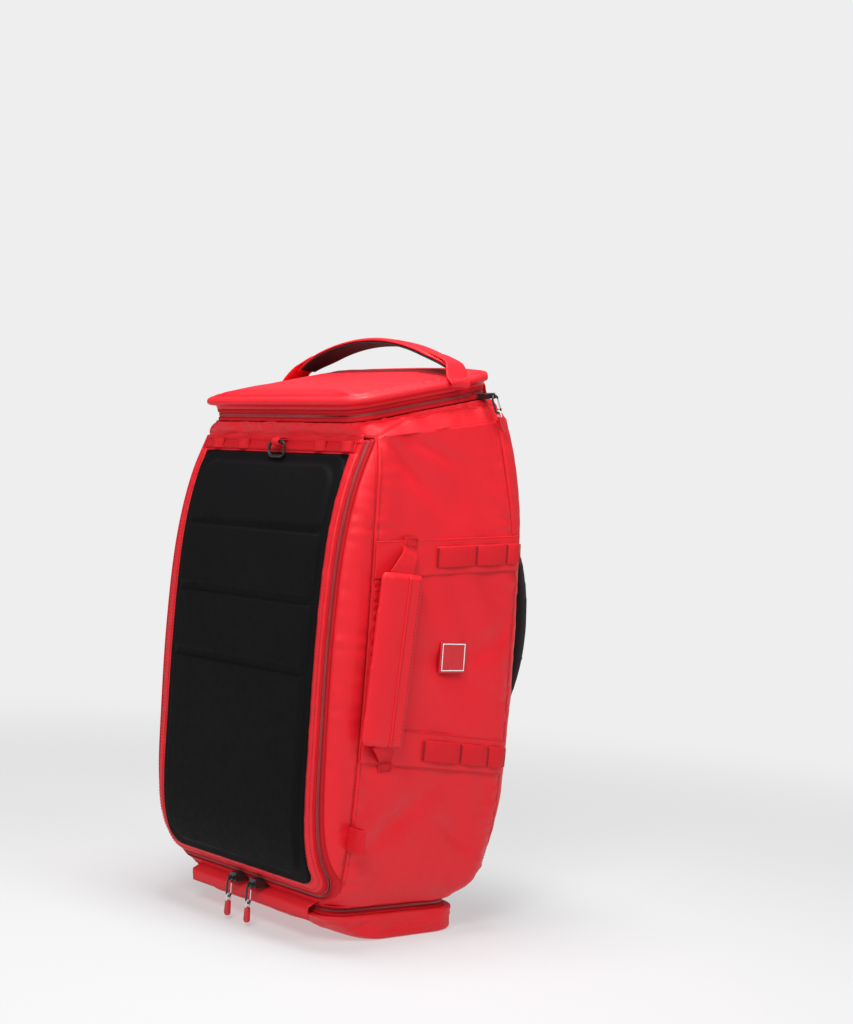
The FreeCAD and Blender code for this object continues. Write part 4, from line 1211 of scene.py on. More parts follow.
# %% Lid zip
tape_rows = [
    (-0.0045, -0.0005), (-0.0030, 0.0006), (-0.0028, 0.0030), (-0.0034, 0.0042), (-0.0046, 0.0046),
    (-0.0050, 0.0062), (-0.0060, 0.0072)
]
piece(
    "lid_zip_lower_tape", [(stack(tape_rows), False, True)], zip_tape, "bag", "zip_tape",
    ["lid_zip_collar_tape"], thick=TAPE_THICK
)
upper_rows = [
    (-0.0060, 0.0078), (-0.0050, 0.0088), (-0.0046, 0.0104), (-0.0034, 0.0108), (-0.0030, 0.0130),
    (-0.0028, 0.0152)
]
piece(
    "lid_zip_upper_tape", [(stack(upper_rows), False, True)], zip_tape, "lid", "zip_tape",
    ["lid_zip_lid_tape"], thick=TAPE_THICK
)
for name, height, body, second in (
    ("lid_zip_teeth_lower", 0.00665, "bag", 0), ("lid_zip_teeth_upper", 0.0083, "lid", 1)
):
    ring = lid_ring(-0.0052, height)
    teeth(name, ring, lid_ring(0.0048, height) - ring, body, second)

# %% [markdown]
# ## Straps
# A strap is a flat section with round edges, carried along a path. The path goes through a few given
# points, and a cubic between each two makes it smooth, as bent webbing is.

# %% Straps along a path
def capped(grid):
    """A closed tube with both ends drawn to their middles."""
    ends = [grid[:1].mean(1, keepdims=True) + 0 * grid[:1], grid[-1:].mean(1, keepdims=True) + 0 * grid[:1]]
    return np.concatenate([ends[0], grid, ends[1]])


def ribbon(path, wide, thick, name, material, body, slot=None, stands_for=(), side=(0, 1, 0)):
    """A flat strap along a smooth path: a rounded flat loop carried along it, its width along side."""
    path = np.asarray(path, float)
    side = np.asarray(side, float) if np.ndim(side) == 2 else np.tile(side, (len(path), 1))
    ahead = np.gradient(path, axis=0)
    ahead /= np.linalg.norm(ahead, axis=1, keepdims=True)
    side = side - (side * ahead).sum(1, keepdims=True) * ahead
    side /= np.linalg.norm(side, axis=1, keepdims=True)
    out = np.cross(side, ahead)
    wide = np.broadcast_to(wide, (len(path),))
    across, up = flat_loop(24, 0.25, 0.5)
    grid = path[:, None] + side[:, None] * (
        across[None, :, None] * wide[:, None, None] / 2
    ) + out[:, None] * (up[None, :, None] * thick / 2)
    return piece(name, [(capped(grid), False, True)], material, body, slot, stands_for)


def curve_through(points, count=40):
    """Smooth path through given points, with count places on it at an even pitch."""
    dense = smooth_through(points, 16)
    run = np.concatenate([[0], np.cumsum(np.linalg.norm(np.diff(dense, axis=0), axis=1))])
    where = np.linspace(0, run[-1], count)
    return np.stack([np.interp(where, run, dense[:, k]) for k in range(3)], -1)


print("places on a short path", len(curve_through([(0, 0, 0), (0, 0, 1)])))

# %% [markdown]
# ## Handle over the lid
# A band of padded cloth bent to a low arch. Seen from above it is widest in the middle. Its cross
# section is a flat loop with round edges, carried along the arch; the black lining lies under it.

# %% Top handle
HANDLE_HALF, HANDLE_RISE, HANDLE_Y = 0.150, 0.038, 0.022
HANDLE_TOP_Z = float(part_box("top_handle_cover")[1].z)


def arch_grid(thick, drop, width_scale=1.0, rows=90, cols=36, sag=0.0):
    """Closed band along a circular arch, a flat oval section whose width follows the handle's plan."""
    radius = (HANDLE_HALF**2 + HANDLE_RISE**2) / (2 * HANDLE_RISE)
    full = math.asin(HANDLE_HALF / radius)
    turn = np.linspace(-full, full, rows)
    x = radius * np.sin(turn)
    lift = radius * (np.cos(turn) - 1)
    share = 1 - np.abs(x) / HANDLE_HALF
    wide = (0.0120 + 0.0072 * smooth_step(share, 0.0, 0.34)) * width_scale
    across, up = flat_loop(cols, 0.45, 0.8)
    middle = HANDLE_TOP_Z - drop - thick / 2
    y = HANDLE_Y + wide[:, None] * across[None]
    rise = up[None] * thick / 2 - sag * (across**2)[None] * smooth_step(share, 0, 0.3)[:, None]
    px = x[:, None] + rise * np.sin(turn)[:, None]
    pz = middle + lift[:, None] + rise * np.cos(turn)[:, None]
    return np.stack([px, y, pz], -1)


handle = arch_grid(0.0044, 0.0, sag=0.0016)
piece(
    "top_handle_wrap", [(capped(handle), False, True)], red_fabric, "top_handle", "red_fabric",
    ["top_handle_cover"], flip=True
)
lining = arch_grid(0.0028, 0.0042, 1.01, sag=0.0016)[3:-3]
piece(
    "top_handle_underside", [(capped(lining), False, True)], black_fabric, "top_handle", "black_fabric",
    ["top_handle_lining"], flip=True
)
lines = []
for side in (-1, 1):
    run = arch_grid(0.0044, 0.0, sag=0.0016, rows=160)
    k = 7 if side > 0 else 11
    lines.append(
        (
            run[:, k] + [0, 0, 0.00005],
            np.stack([0 * run[:, k, 0], 0 * run[:, k, 0], 1 + 0 * run[:, k, 0]], -1)
        )
    )
stitches("top_handle_stitches", lines, red_thread, "top_handle")

# %% [markdown]
# ## How the top handle is sewn on
# Each end of the band turns down over the lid's rim and is caught under it.

# %% Feet of the top handle
handle_v = (HANDLE_Y - MOUTH[1]) / LID_RISE.y
edge_x = float(MOUTH[4] + (MOUTH[5] - MOUTH[4]) * handle_v / LID_LENGTH)
for name, sign in (("right", 1), ("left", -1)):
    crest = arch_grid(0.0044, 0.0, rows=60)[:, 9]
    over = [
        (edge_x + 0.0070, 0.0316), (edge_x + 0.0108, 0.0265), (edge_x + 0.0090, 0.0215),
        (edge_x + 0.0030, 0.0195)
    ]
    path = [
        crest[-9] - [0, 0, 0.0012], crest[-6] + [0, 0, 0.0006], crest[-2] + [0.0006, 0, 0.0009]
    ] + [lid_point(x, handle_v, h) for x, h in over]
    foot = ribbon(
        curve_through(path, 60) * [sign, 1, 1],
        np.interp(np.linspace(0, 1, 60), [0, 0.3, 0.6, 1], [0.029, 0.0275, 0.031, 0.033]), 0.0030,
        f"{name}_top_handle_foot", red_fabric, None, "red_fabric",
        ["top_handle_anchors"] if sign == 1 else ()
    )
    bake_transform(foot)

# %% [markdown]
# ## Webbing and patches on the sides
# A flat piece sewn to the side follows the shell at a small height over it. The place on the side at
# a depth and height is found by halving steps, so strips are drawn in plain depth and height.

# %% Side surface
def side_surface(y, z, grow=0.0):
    """Points on the right side at depth y and height z, standing out by grow."""
    y, z = np.broadcast_arrays(np.asarray(y, float), np.asarray(z, float))
    low, high = np.zeros(z.shape), np.full(z.shape, LEVELS)
    for _ in range(24):
        mid = (low + high) / 2
        row = section_at(mid)
        here = row[..., 0] + (y - row[..., 1]) * (row[..., 2] - row[..., 0]) / (row[..., 3] - row[..., 1])
        low, high = np.where(here < z, mid, low), np.where(here < z, high, mid)
    row = section_at((low + high) / 2)
    return around(row, distance_to_y(row, y), grow)


print("side at mid height", side_surface(0.0, 0.35))

# %% [markdown]
# ## Bands with ladders of webbing
# A band of doubled cloth crosses each side above and below the grip. On it lies webbing that is
# tacked down at a few places and stands up a little between them, so that things can be tied to it.

# %% Bands and ladders
BANDS = ((0.454, 0.4725), (0.242, 0.2185))
BAND_TALL, LADDER_TALL, LADDER_FRONT = 0.044, 0.026, -0.016
TACKS = ((-0.015, 0.048, 0.099, 0.1225), (-0.015, 0.046, 0.092, 0.1225))
BAND_PROFILE = (
    (0, -0.0004), (0.012, 0.0009), (0.03, 0.0012), (0.1, 0.0012), (0.25, 0.0014), (0.5, 0.0015)
)
LADDER_PROFILE = ((0, 0.0012), (0.03, 0.0024), (0.08, 0.0028), (0.3, 0.0030), (0.5, 0.0030))
TACK_HALF, TACK_LIFT, BULGE = 0.0012, 0.0044, 0.0030


def band_grid(front_z, slope):
    """A band of doubled cloth across the side, with its edges turned under."""
    y = np.linspace(SEAM_Y + 0.001, REAR_SEAM_Y - 0.001, 120)[None, :]
    share, lift = across_strip(BAND_PROFILE)
    z = front_z + slope * (y - SEAM_Y) + (share - 0.5) * BAND_TALL
    grid = side_surface(y + 0 * z, z, 0 * z)
    return grid + normals_of(grid) * (lift + folds(grid, 0.02 + 0 * z, 0.0010) * 0.5 + 0.0011)[..., None]


def ladder_grid(front_z, slope, tacks):
    """Webbing on a band: it bulges in a sine's arch between each two places where it is tacked."""
    y = np.linspace(LADDER_FRONT, REAR_SEAM_Y - 0.002, 150)
    bulge = np.zeros(len(y))
    for a, b in zip(tacks, tacks[1:]):
        inside = (y > a) & (y < b)
        bulge[inside] = BULGE * np.sin(math.pi * (y[inside] - a) / (b - a)) ** 0.7
    share, lift = across_strip(LADDER_PROFILE)
    z = front_z + slope * (y[None] - SEAM_Y) + (share - 0.5) * LADDER_TALL
    grid = side_surface(y[None] + 0 * z, z, 0 * z)
    return grid + normals_of(grid) * (lift + 0.0008 + bulge[None])[..., None]


band_grids, ladder_grids, band_lines, tack_lines = [], [], [], []
for (front_z, rear_z), tacks in zip(BANDS, TACKS):
    slope = (rear_z - front_z) / (REAR_SEAM_Y - SEAM_Y)
    grid = band_grid(front_z, slope)
    band_grids.append(grid)
    for part in (2, 8):
        band_lines.append((grid[part] + normals_of(grid)[part] * 0.0002, normals_of(grid)[part]))
    ladder_grids.append(ladder_grid(front_z, slope, tacks))
    up = side_surface(0.0, front_z, 0.02) - side_surface(0.0, front_z, 0.0)
    for tack in tacks:
        for step in (-TACK_HALF, 0.0, TACK_HALF):
            z = front_z + slope * (tack + step - SEAM_Y) + np.linspace(-0.45, 0.45, 24) * LADDER_TALL
            line = side_surface(np.full(24, tack + step), z, TACK_LIFT)
            tack_lines.append((line, np.tile(up, (24, 1))))
SEWN_ON = (
    ("band", band_grids, red_fabric, "red_fabric", "side_bands", 0.001),
    ("ladder", ladder_grids, red_webbing, "red_webbing", "ladder_webbing", 0.0014),
)
for side in ("right", "left"):
    for kind, grids, material, slot, node, thick in SEWN_ON:
        for level, grid in zip(("upper", "lower"), grids):
            piece(
                f"{side}_{kind}_{level}", [(grid if side == "right" else mirror_x(grid), False, False)],
                material, "bag", slot, [node] if (side, level) == ("right", "upper") else (), thick=thick
            )
flip = np.array([-1.0, 1, 1])
stitches(
    "side_band_stitches", band_lines + [(p * flip, n * flip) for p, n in band_lines], red_thread, "bag"
)
stitches(
    "ladder_tack_stitches", tack_lines + [(p * flip, n * flip) for p, n in tack_lines], red_thread, "bag",
    pitch=0.0013, size=(0.0011, 0.0009, 0.0006)
)

# %% [markdown]
# ## The label
# A small rubber patch is sewn to the right side, with a raised white line round it. The patch is
# the side's own surface raised a little, and the line is a ring of four rounded corners on it.

# %% Label
def patch_grid(y0, y1, z0, z1, rows, cols, radius, thick):
    """A flat patch with rounded edges on the side, raised by thick except at its very edge."""
    y = np.linspace(y0, y1, cols)[None, :] + np.zeros((rows, 1))
    z = np.linspace(z0, z1, rows)[:, None] + np.zeros((1, cols))
    gap = inside_distance(y - (y0 + y1) / 2, z, (y1 - y0) / 2, z0, z1, radius)
    grid = side_surface(y, z, 0 * y)
    return grid + normals_of(grid) * (thick * smooth_step(gap, -0.0002, 0.0006))[..., None]


LABEL = (0.001, 0.043, 0.324, 0.362)
label = patch_grid(*LABEL, 60, 66, radius=0.002, thick=0.0024)
piece("side_label", [(label, False, False)], red_rubber, "bag", "label", ["side_label_patch"], thick=0.001)


def frame_strip(y0, y1, z0, z1, wide, height):
    """A narrow raised border round a rectangle on the side."""
    rings = []
    for inset, lift in ((0, 0.0), (0.0001, 0.00035), (wide - 0.0001, 0.00035), (wide, 0.0)):
        loop = rounded_loop(
            [
                (y1 - inset, z1 - inset), (y0 + inset, z1 - inset), (y0 + inset, z0 + inset),
                (y1 - inset, z0 + inset)
            ],
            [0.0006] * 4, 4, 20
        )
        rings.append(side_surface(loop[:, 0], loop[:, 1], np.full(len(loop), height + lift)))
    return np.stack(rings[::-1])


piece(
    "side_label_border", [(frame_strip(0.0035, 0.0405, 0.3265, 0.3595, 0.0013, 0.0027), False, True)],
    white_print, "bag"
)

# %% [markdown]
# ## Carrying handles on the sides
# Each is a sleeve of coated cloth wrapped round webbing, with its free edge laid over itself and sewn
# down. It is a closed loop section carried from foot to head, thinner where it is sewn, and the laid
# over edge is a second sheet that follows its outer face.

# %% Side handles
GRIP_IN, GRIP_OUT = 0.1875, 0.2005
GRIP = np.array([(-0.124, 0.242), (-0.062, 0.238), (-0.049, 0.440), (-0.111, 0.444)])


def grip_place(across, v):
    """Depth and height on a grip: across runs from its front edge to its rear, v from foot to head."""
    front = GRIP[0] * (1 - v[..., None]) + GRIP[3] * v[..., None]
    rear = GRIP[1] * (1 - v[..., None]) + GRIP[2] * v[..., None]
    return front * (1 - across[..., None]) + rear * across[..., None]


def grip_half(across, v):
    """Half the sleeve's thickness: thinner at its ends, its front edge and the row of stitches behind."""
    end = smooth_step(np.minimum(v, 1 - v), 0, 0.03)
    plain = (GRIP_OUT - GRIP_IN) / 2 * (0.35 + 0.65 * end) * (0.55 + 0.45 * smooth_step(across, 0.0, 0.22))
    return plain - 0.0012 * smooth_step(across, 0.86, 0.94) * end


def grip_grid(rows=90, cols=48):
    """Closed sleeve between the grip's foot and head, a flat loop carried along it."""
    across, out = flat_loop(cols, 0.5, 0.85)
    v, across = np.meshgrid(np.linspace(0, 1, rows), across * 0.5 + 0.5, indexing="ij")
    x = (GRIP_IN + GRIP_OUT) / 2 + out[None] * grip_half(across, v)
    return np.concatenate([x[..., None], grip_place(across, v)], -1)


def grip_face(across, v, lift):
    """Points on a grip's outer face, raised by lift."""
    x = (GRIP_IN + GRIP_OUT) / 2 + grip_half(across, v) + lift
    return np.concatenate([x[..., None], grip_place(across, v)], -1)


def grip_sewn(points):
    """Points of a grip near its front edge and its ends, and under the sleeve's overlap."""
    v = (points[:, 2] - GRIP[:2, 1].mean()) / (GRIP[2:, 1].mean() - GRIP[:2, 1].mean())
    front = GRIP[0, 0] * (1 - v) + GRIP[3, 0] * v
    across = (points[:, 1] - front) / (GRIP[1, 0] - GRIP[0, 0])
    return (across < 0.06) | (across > OVERLAP - 0.02) | (np.minimum(v, 1 - v) < 0.03)


OVERLAP, OVERLAP_END = 0.63, 0.965
share, v = np.meshgrid(np.linspace(0, 1, 16), np.linspace(0.004, 0.996, 90))
lift = 0.0010 * smooth_step(np.minimum(share, 1 - share), 0.0, 0.06) + 0.0004
overlap = grip_face(OVERLAP + (OVERLAP_END - OVERLAP) * share, v, lift)
v = np.linspace(0.02, 0.98, 130)
rows = [grip_face(np.full(len(v), at), v, 0.0016) for at in (OVERLAP + 0.045, 0.90)]
sleeve = capped(grip_grid())
for name, mirror in (("right", np.array([1, 1, 1])), ("left", flip)):
    turned = slice(None, None, int(mirror[0]))
    body = f"{name}_side_handle"
    sleeve_piece = piece(
        f"{name}_grip_sleeve", [((sleeve * mirror)[:, turned], False, True)], red_fabric, body,
        "red_fabric", [f"{name}_handle_grip"], flip=True
    )
    puff(sleeve_piece, grip_sewn, cap=0.004, pressure=16.0)
    piece(
        f"{name}_grip_overlap", [((overlap * mirror)[:, turned], False, False)], red_fabric, body,
        "red_fabric", thick=0.0009
    )
    lines = [(row * mirror, np.tile([mirror[0] * 1.0, 0, 0], (len(v), 1))) for row in rows]
    stitches(f"{name}_grip_stitches", lines, red_thread, body)

# %% [markdown]
# ## The gathered strip
# Beside each side handle the front seam is bound with a strip that is gathered as it is sewn, so it
# ripples. A sine wave along the strip, with a second one that varies its pitch, gives the ripples.

# %% Gathered strip in front of the side handles
ripple_z = np.linspace(0.252, 0.436, 140)[:, None]
share = np.linspace(0, 1, 10)[None, :]
y = SEAM_Y + 0.0035 + 0.0085 * share + 0 * ripple_z
gather = (
    0.0011 + 0.0008 * np.sin(ripple_z * 2 * math.pi / 0.011 + 2.5 * np.sin(ripple_z * 60))
) * np.sin(math.pi * np.clip(share, 0.02, 0.98)) ** 0.4
binding_grid = side_surface(y, ripple_z + 0 * share, gather)
piece("right_seam_binding", [(binding_grid, False, False)], red_fabric, "bag", "red_fabric", thick=0.0006)
piece(
    "left_seam_binding", [(mirror_x(binding_grid), False, False)], red_fabric, "bag", "red_fabric",
    thick=0.0006
)

# %% [markdown]
# ## How the side handles are sewn on
# Webbing comes out of each end of the grip and narrows to a tack sewn in a square. A small
# loop of webbing lower down is caught in the front seam.

# %% Webbing ends and seam loops
REPLACED = {
    "right_handle_head": ["right_handle_webbing", "side_handle_anchors"],
    "left_handle_head": ["left_handle_webbing"],
}
BOX_HALF, BOX_LOW, BOX_HIGH, BOX_LIFT, LASH_Z = 0.0075, 0.0035, 0.0125, 0.0036, 0.133
ENDS = (("head", -0.057, 0.4690, 1, (-0.081, 0.434)), ("foot", -0.072, 0.2230, -1, (-0.088, 0.248)))


def box_stitches(name, y, z, lean, flip_x):
    """A square of stitches on the tack of a handle's webbing, with its near edge at depth y and height z."""
    run, out, rows = np.linspace(-BOX_HALF, BOX_HALF, 12), np.tile([flip_x[0] * 1.0, 0, 0], (12, 1)), []
    for dy in (-BOX_HALF, BOX_HALF):
        up = z + lean * np.linspace(BOX_LOW, BOX_HIGH, 12)
        rows.append((side_surface(y + dy + 0 * up, up, BOX_LIFT) * flip_x, out))
    for dz in (BOX_LOW, BOX_HIGH):
        rows.append((side_surface(y + run, z + lean * dz + 0 * run, BOX_LIFT) * flip_x, out))
    stitches(name, rows, red_thread, "bag", pitch=0.0022, size=(0.0016, 0.0007, 0.0005))


def handle_end(side, end, y, z, lean, inner, flip_x):
    """Webbing from inside a grip to its tack on the shell, with a square of stitches on the tack."""
    face = side_surface(
        np.array([y, y, y]), z + lean * np.array([0.0, 0.007, 0.0145]), np.array([0.0026, 0.0023, 0.0021])
    )
    path = [
        (0.1935, inner[0], inner[1]), (0.1930, inner[0] * 0.7 + y * 0.3, inner[1] * 0.65 + z * 0.35),
        (0.1885, inner[0] * 0.3 + y * 0.7, inner[1] * 0.25 + z * 0.75)
    ]
    name = f"{side}_handle_{end}"
    strap = ribbon(
        curve_through(path + list(face), 60) * flip_x,
        np.interp(np.linspace(0, 1, 60), [0, 0.5, 1], [0.036, 0.024, 0.0205]), 0.0022, name, red_webbing,
        None, "red_webbing", REPLACED.get(name, ()), side=(0, 1, -0.35 * lean)
    )
    tuple(np.array(path[1]) * flip_x)
    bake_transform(strap)
    box_stitches(name + "_stitches", y, z, lean, flip_x)


for side, sign in (("right", 1), ("left", -1)):
    flip_x = np.array([sign, 1, 1])
    for end, y, z, lean, inner in ENDS:
        handle_end(side, end, y, z, lean, inner, flip_x)
    base = float(side_surface(SEAM_Y, LASH_Z, 0.0)[0])
    loop = [
        (base - 0.002, SEAM_Y - 0.0032, LASH_Z), (base + 0.008, SEAM_Y - 0.0034, LASH_Z),
        (base + 0.017, SEAM_Y - 0.0034, LASH_Z - 0.0005), (0.2008, SEAM_Y, LASH_Z - 0.001),
        (base + 0.017, SEAM_Y + 0.0034, LASH_Z - 0.0005), (base + 0.008, SEAM_Y + 0.0034, LASH_Z),
        (base - 0.002, SEAM_Y + 0.0032, LASH_Z)
    ]
    ribbon(
        curve_through(loop, 60) * flip_x, 0.028, 0.0016, f"{side}_lash_loop", red_webbing, "bag",
        "red_webbing", ["side_lash_loops"] if sign == 1 else (), side=(0, 0, 1)
    )

# %% [markdown]
# ## The webbing strip on the cover
# A strip of webbing lies above the moulded panel. Short bridges of webbing stand up from it as loops,
# and one tab is folded over to hold the gear hook.

# %% Webbing strip on the cover
STRIP_TALL = 0.0135
share, lift = across_strip(((0, 0.0006), (0.04, 0.0016), (0.12, 0.0019), (0.5, 0.0020)))
z = share * STRIP_TALL + PANEL_TOP + 0.0025
x = np.linspace(-0.148, 0.148, 120)[None, :]
strip = front_surface(x + 0 * z, z + 0 * x, lift + 0 * x)
piece(
    "cover_webbing_strip", [(strip, False, False)], red_webbing, "front_cover", "red_webbing",
    ["cover_daisy_webbing"], thick=0.0012
)
STRIP_Z = 0.58325
for k, x0 in enumerate((-0.122, -0.068, 0.084, 0.134)):
    face = front_surface(x0, STRIP_Z, 0.0018)
    run = [
        (x0 - 0.011, 0.0010), (x0 - 0.0075, 0.0016), (x0 - 0.0045, 0.0048), (x0, 0.0062),
        (x0 + 0.0045, 0.0048), (x0 + 0.0075, 0.0016), (x0 + 0.011, 0.0010)
    ]
    path = curve_through([(px, face[1] - out, STRIP_Z - 0.1 * out) for px, out in run], 40)
    ribbon(
        path, 0.0125, 0.0015, f"cover_loop_{k}", red_webbing, "front_cover", "red_webbing",
        side=(0, 0.1, 1)
    )
HOOK_X = 0.014
TAB = (
    (-0.1265, 0.5905), (-0.1315, 0.5905), (-0.1375, 0.5902), (-0.1408, 0.5862), (-0.1385, 0.5825),
    (-0.133, 0.5815), (-0.1275, 0.5800)
)
tab = curve_through([(HOOK_X, y, z) for y, z in TAB], 50)
ribbon(
    tab, 0.013, 0.0016, "gear_hook_webbing", red_webbing, "front_cover", "red_webbing", ["gear_hook_tab"],
    side=(1, 0, 0)
)
lines = []
for height in (PANEL_TOP + 0.0045, PANEL_TOP + 0.0145):
    x = np.linspace(-0.146, 0.146, 140)
    line = front_surface(x, height + 0 * x, 0.0020 + 0 * x)
    lines.append((line, np.tile([0, -1.0, 0.25], (140, 1))))
stitches("cover_strip_stitches", lines, red_thread, "front_cover")

# %% [markdown]
# ## The base flap
# The flap is a stiff sole with soft walls that rise to the zip. Its section is a flat-bottomed
# dish; its walls carry slack folds, because they hang between the board and the zip.

# %% Base flap
BASE_HALF, BASE_REAR, BASE_FRONT, SOLE_FRONT = 0.146, 0.110, -0.116, -0.046
RIM_FRONT, RIM_REAR = 0.034, 0.029


def base_outline(inset, sole=0.0):
    """Flap seen from above, drawn in by inset; sole moves its front edge back to where the sole starts."""
    half = BASE_HALF - inset
    front = BASE_FRONT + inset + sole * (SOLE_FRONT - BASE_FRONT)
    r_front = 0.022 + 0.008 * (1 - sole)
    return rounded_loop(
        [(half, BASE_REAR - inset), (-half, BASE_REAR - inset), (-half, front), (half, front)],
        [0.042, 0.042, r_front, r_front], 12, 60
    )


def base_ring(inset, share):
    """Ring of the flap's wall: share 0 is the sole's edge and 1 the rim. The front wall slopes forward."""
    low, high = base_outline(inset, 1.0), base_outline(inset, 0.0)
    bow = share + 0.16 * math.sin(math.pi * share)
    loop = low * (1 - bow) + high * bow if share < 1 else high
    rim = RIM_FRONT + (RIM_REAR - RIM_FRONT) * (loop[:, 1] - BASE_FRONT) / (BASE_REAR - BASE_FRONT)
    return np.stack([loop[:, 0], loop[:, 1], rim * share], -1)


print("flap rim at the front", round(float(base_ring(0.0, 1.0)[:, 2].max()), 4))

# %% [markdown]
# ## The flap's cloth
# Its sole is a few rings drawn in towards the middle. Its wall is a stack of rings from the sole to
# the rim, moved in and out by slow noise, most at half height where the cloth hangs loose.

# %% Flap's cloth
rings = [base_ring(inset, 0.0) for inset in (0.100, 0.06, 0.03, 0.012, 0.004)]
for ring in rings:
    ring[:, 2] = 0.0
rings[-1][:, 2] = 0.0004
walls = (
    [base_ring(0.0018, 0.06), base_ring(0.0006, 0.12)]
    + [base_ring(0.0004, s) for s in np.linspace(0.2, 0.92, 16)]
    + [base_ring(0.0012, 0.97), base_ring(0.004, 1.0), base_ring(0.012, 1.0), base_ring(0.03, 0.97)]
)
flap = np.stack(rings + walls)
wall_share = np.clip((np.arange(len(flap)) - len(rings)) / (len(walls) - 4), 0, 1)
slack = np.sin(math.pi * wall_share)[:, None]
flap = flap + normals_of(flap) * (
    slack
    * (
        noise3(flap * [1, 1, 2.4], 0.055, 51) * 0.0016 + noise3(flap * [1, 1, 3.5], 0.022, 52) * 0.0005
        - 0.0012
    )
)[..., None]
flap[..., 2] = np.maximum(flap[..., 2], 0.0)
piece(
    "base_flap_cloth", [(flap, False, True)], red_fabric, "base_flap", "red_fabric",
    ["base_flap_cover", "base_flap_foam"]
)

# %% [markdown]
# ## The base flap's zip
# The zip runs in the gap between the flap's rim and the shell's lower edge. Both tapes are rings
# between those two outlines. A hem turns in under the shell, and a strip of cloth is the hinge.

# %% Base zip
FOOT = SECTIONS[0]


def foot_ring(share, inset):
    """Ring between the flap's rim and the shell's lower edge."""
    row = FOOT.copy()
    row[0] = RIM_FRONT + (FOOT[0] - RIM_FRONT) * share
    row[2] = RIM_REAR + (FOOT[2] - RIM_REAR) * share
    row[1], row[3] = row[1] + 0.002 + inset, row[3] - 0.008 - inset
    row[4], row[5] = row[4] - 0.008 - inset, row[5] - 0.006 - inset
    return rim_outline(row, 0.0, 420)


lower = np.stack(
    [
        foot_ring(s, i)
        for s, i in (
            (-0.05, 0.001), (0.02, -0.0006), (0.10, -0.0016), (0.18, -0.0012), (0.24, 0.0006),
            (0.34, 0.0014), (0.47, 0.0022)
        )
    ]
)
piece(
    "base_zip_lower_tape", [(lower, False, True)], zip_tape, "base_flap", "zip_tape",
    ["base_zip_flap_tape"], thick=TAPE_THICK
)
upper = np.stack(
    [
        foot_ring(s, i)
        for s, i in (
            (0.53, 0.0022), (0.64, 0.0014), (0.72, 0.0006), (0.78, -0.0014), (0.88, -0.0022),
            (0.96, -0.0008), (1.0, 0.001)
        )
    ]
)
piece(
    "base_zip_upper_tape", [(upper, False, True)], zip_tape, "bag", "zip_tape", ["base_zip_body_tape"],
    thick=TAPE_THICK
)
hem = np.stack(
    [
        rim_outline(FOOT, -0.0005, 420) + [0, 0, 0.0012],
        rim_outline(FOOT, -0.0030, 420) + [0, 0, 0.0006], foot_ring(0.99, 0.001), foot_ring(0.99, 0.010),
        foot_ring(0.99, 0.020)
    ]
)
piece("bottom_hem", [(hem, False, True)], red_fabric, "bag", "red_fabric", ["bottom_panel"], thick=0.0015)
x = np.linspace(-0.118, 0.118, 80)
hinge_rows = [
    np.stack([x, y + 0 * x, z + 0 * x], -1)
    for y, z in (
        (FOOT[1] - 0.0002, FOOT[0] + 0.0050), (FOOT[1] - 0.0006, FOOT[0]), (-0.1186, 0.0412),
        (-0.1184, 0.0370), (-0.1176, 0.0325), (-0.1168, 0.0270)
    )
]
base_hinge_strip = piece(
    "base_hinge_strip", [(np.stack(hinge_rows), False, False)], red_fabric, None, "red_fabric",
    thick=0.0010
)
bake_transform(base_hinge_strip)
for name, share, body, second in (
    ("base_zip_teeth_lower", 0.45, "base_flap", 0), ("base_zip_teeth_upper", 0.55, "bag", 1)
):
    ring = foot_ring(share, 0.0012)
    teeth(name, ring, foot_ring(share, -0.0088) - ring, body, second)

# %% [markdown]
# ## Back and harness
# The back carries a quilted mesh pad. Two padded straps bow out from it, joined above by a yoke and
# ending below in webbing. All follow the back's own curve at a small height.

# %% Back pad
def back_surface(x, z, grow=0.0):
    """Points on the rear face at half width x and height z, standing out by grow."""
    row = section_at(level_for(z, 1.0))
    point = around(row, half_round(row) - np.abs(x), grow)
    point[..., 0] *= np.where(x < 0, -1, 1)
    return point


def pad_sheet(half_low, half_high, low, high, corner, rows, cols, relief):
    """A tapering pad with round corners on the back, raised by relief(distance from its edge)."""
    z = low + (high - low) * (1 - np.cos(np.linspace(0, math.pi, rows))) / 2
    share = (z - low) / (high - low)
    half = half_low * (1 - share) + half_high * share
    drop = np.maximum(np.maximum(low + corner - z, z - (high - corner)), 0)
    half = half - corner + np.sqrt(np.maximum(corner**2 - drop**2, 0))
    u = crowded(cols, 0.9)
    x = -half[:, None] * u[None, :]
    zz = z[:, None] + 0 * x
    gap = np.minimum(np.minimum(half[:, None] - np.abs(x), zz - low), high - zz)
    return back_surface(x, zz, relief(gap))


def back_relief(gap):
    """Padding thickness: it rises quickly from the sewn edge."""
    return 0.0010 + 0.0105 * smooth_step(gap, 0, 0.010)


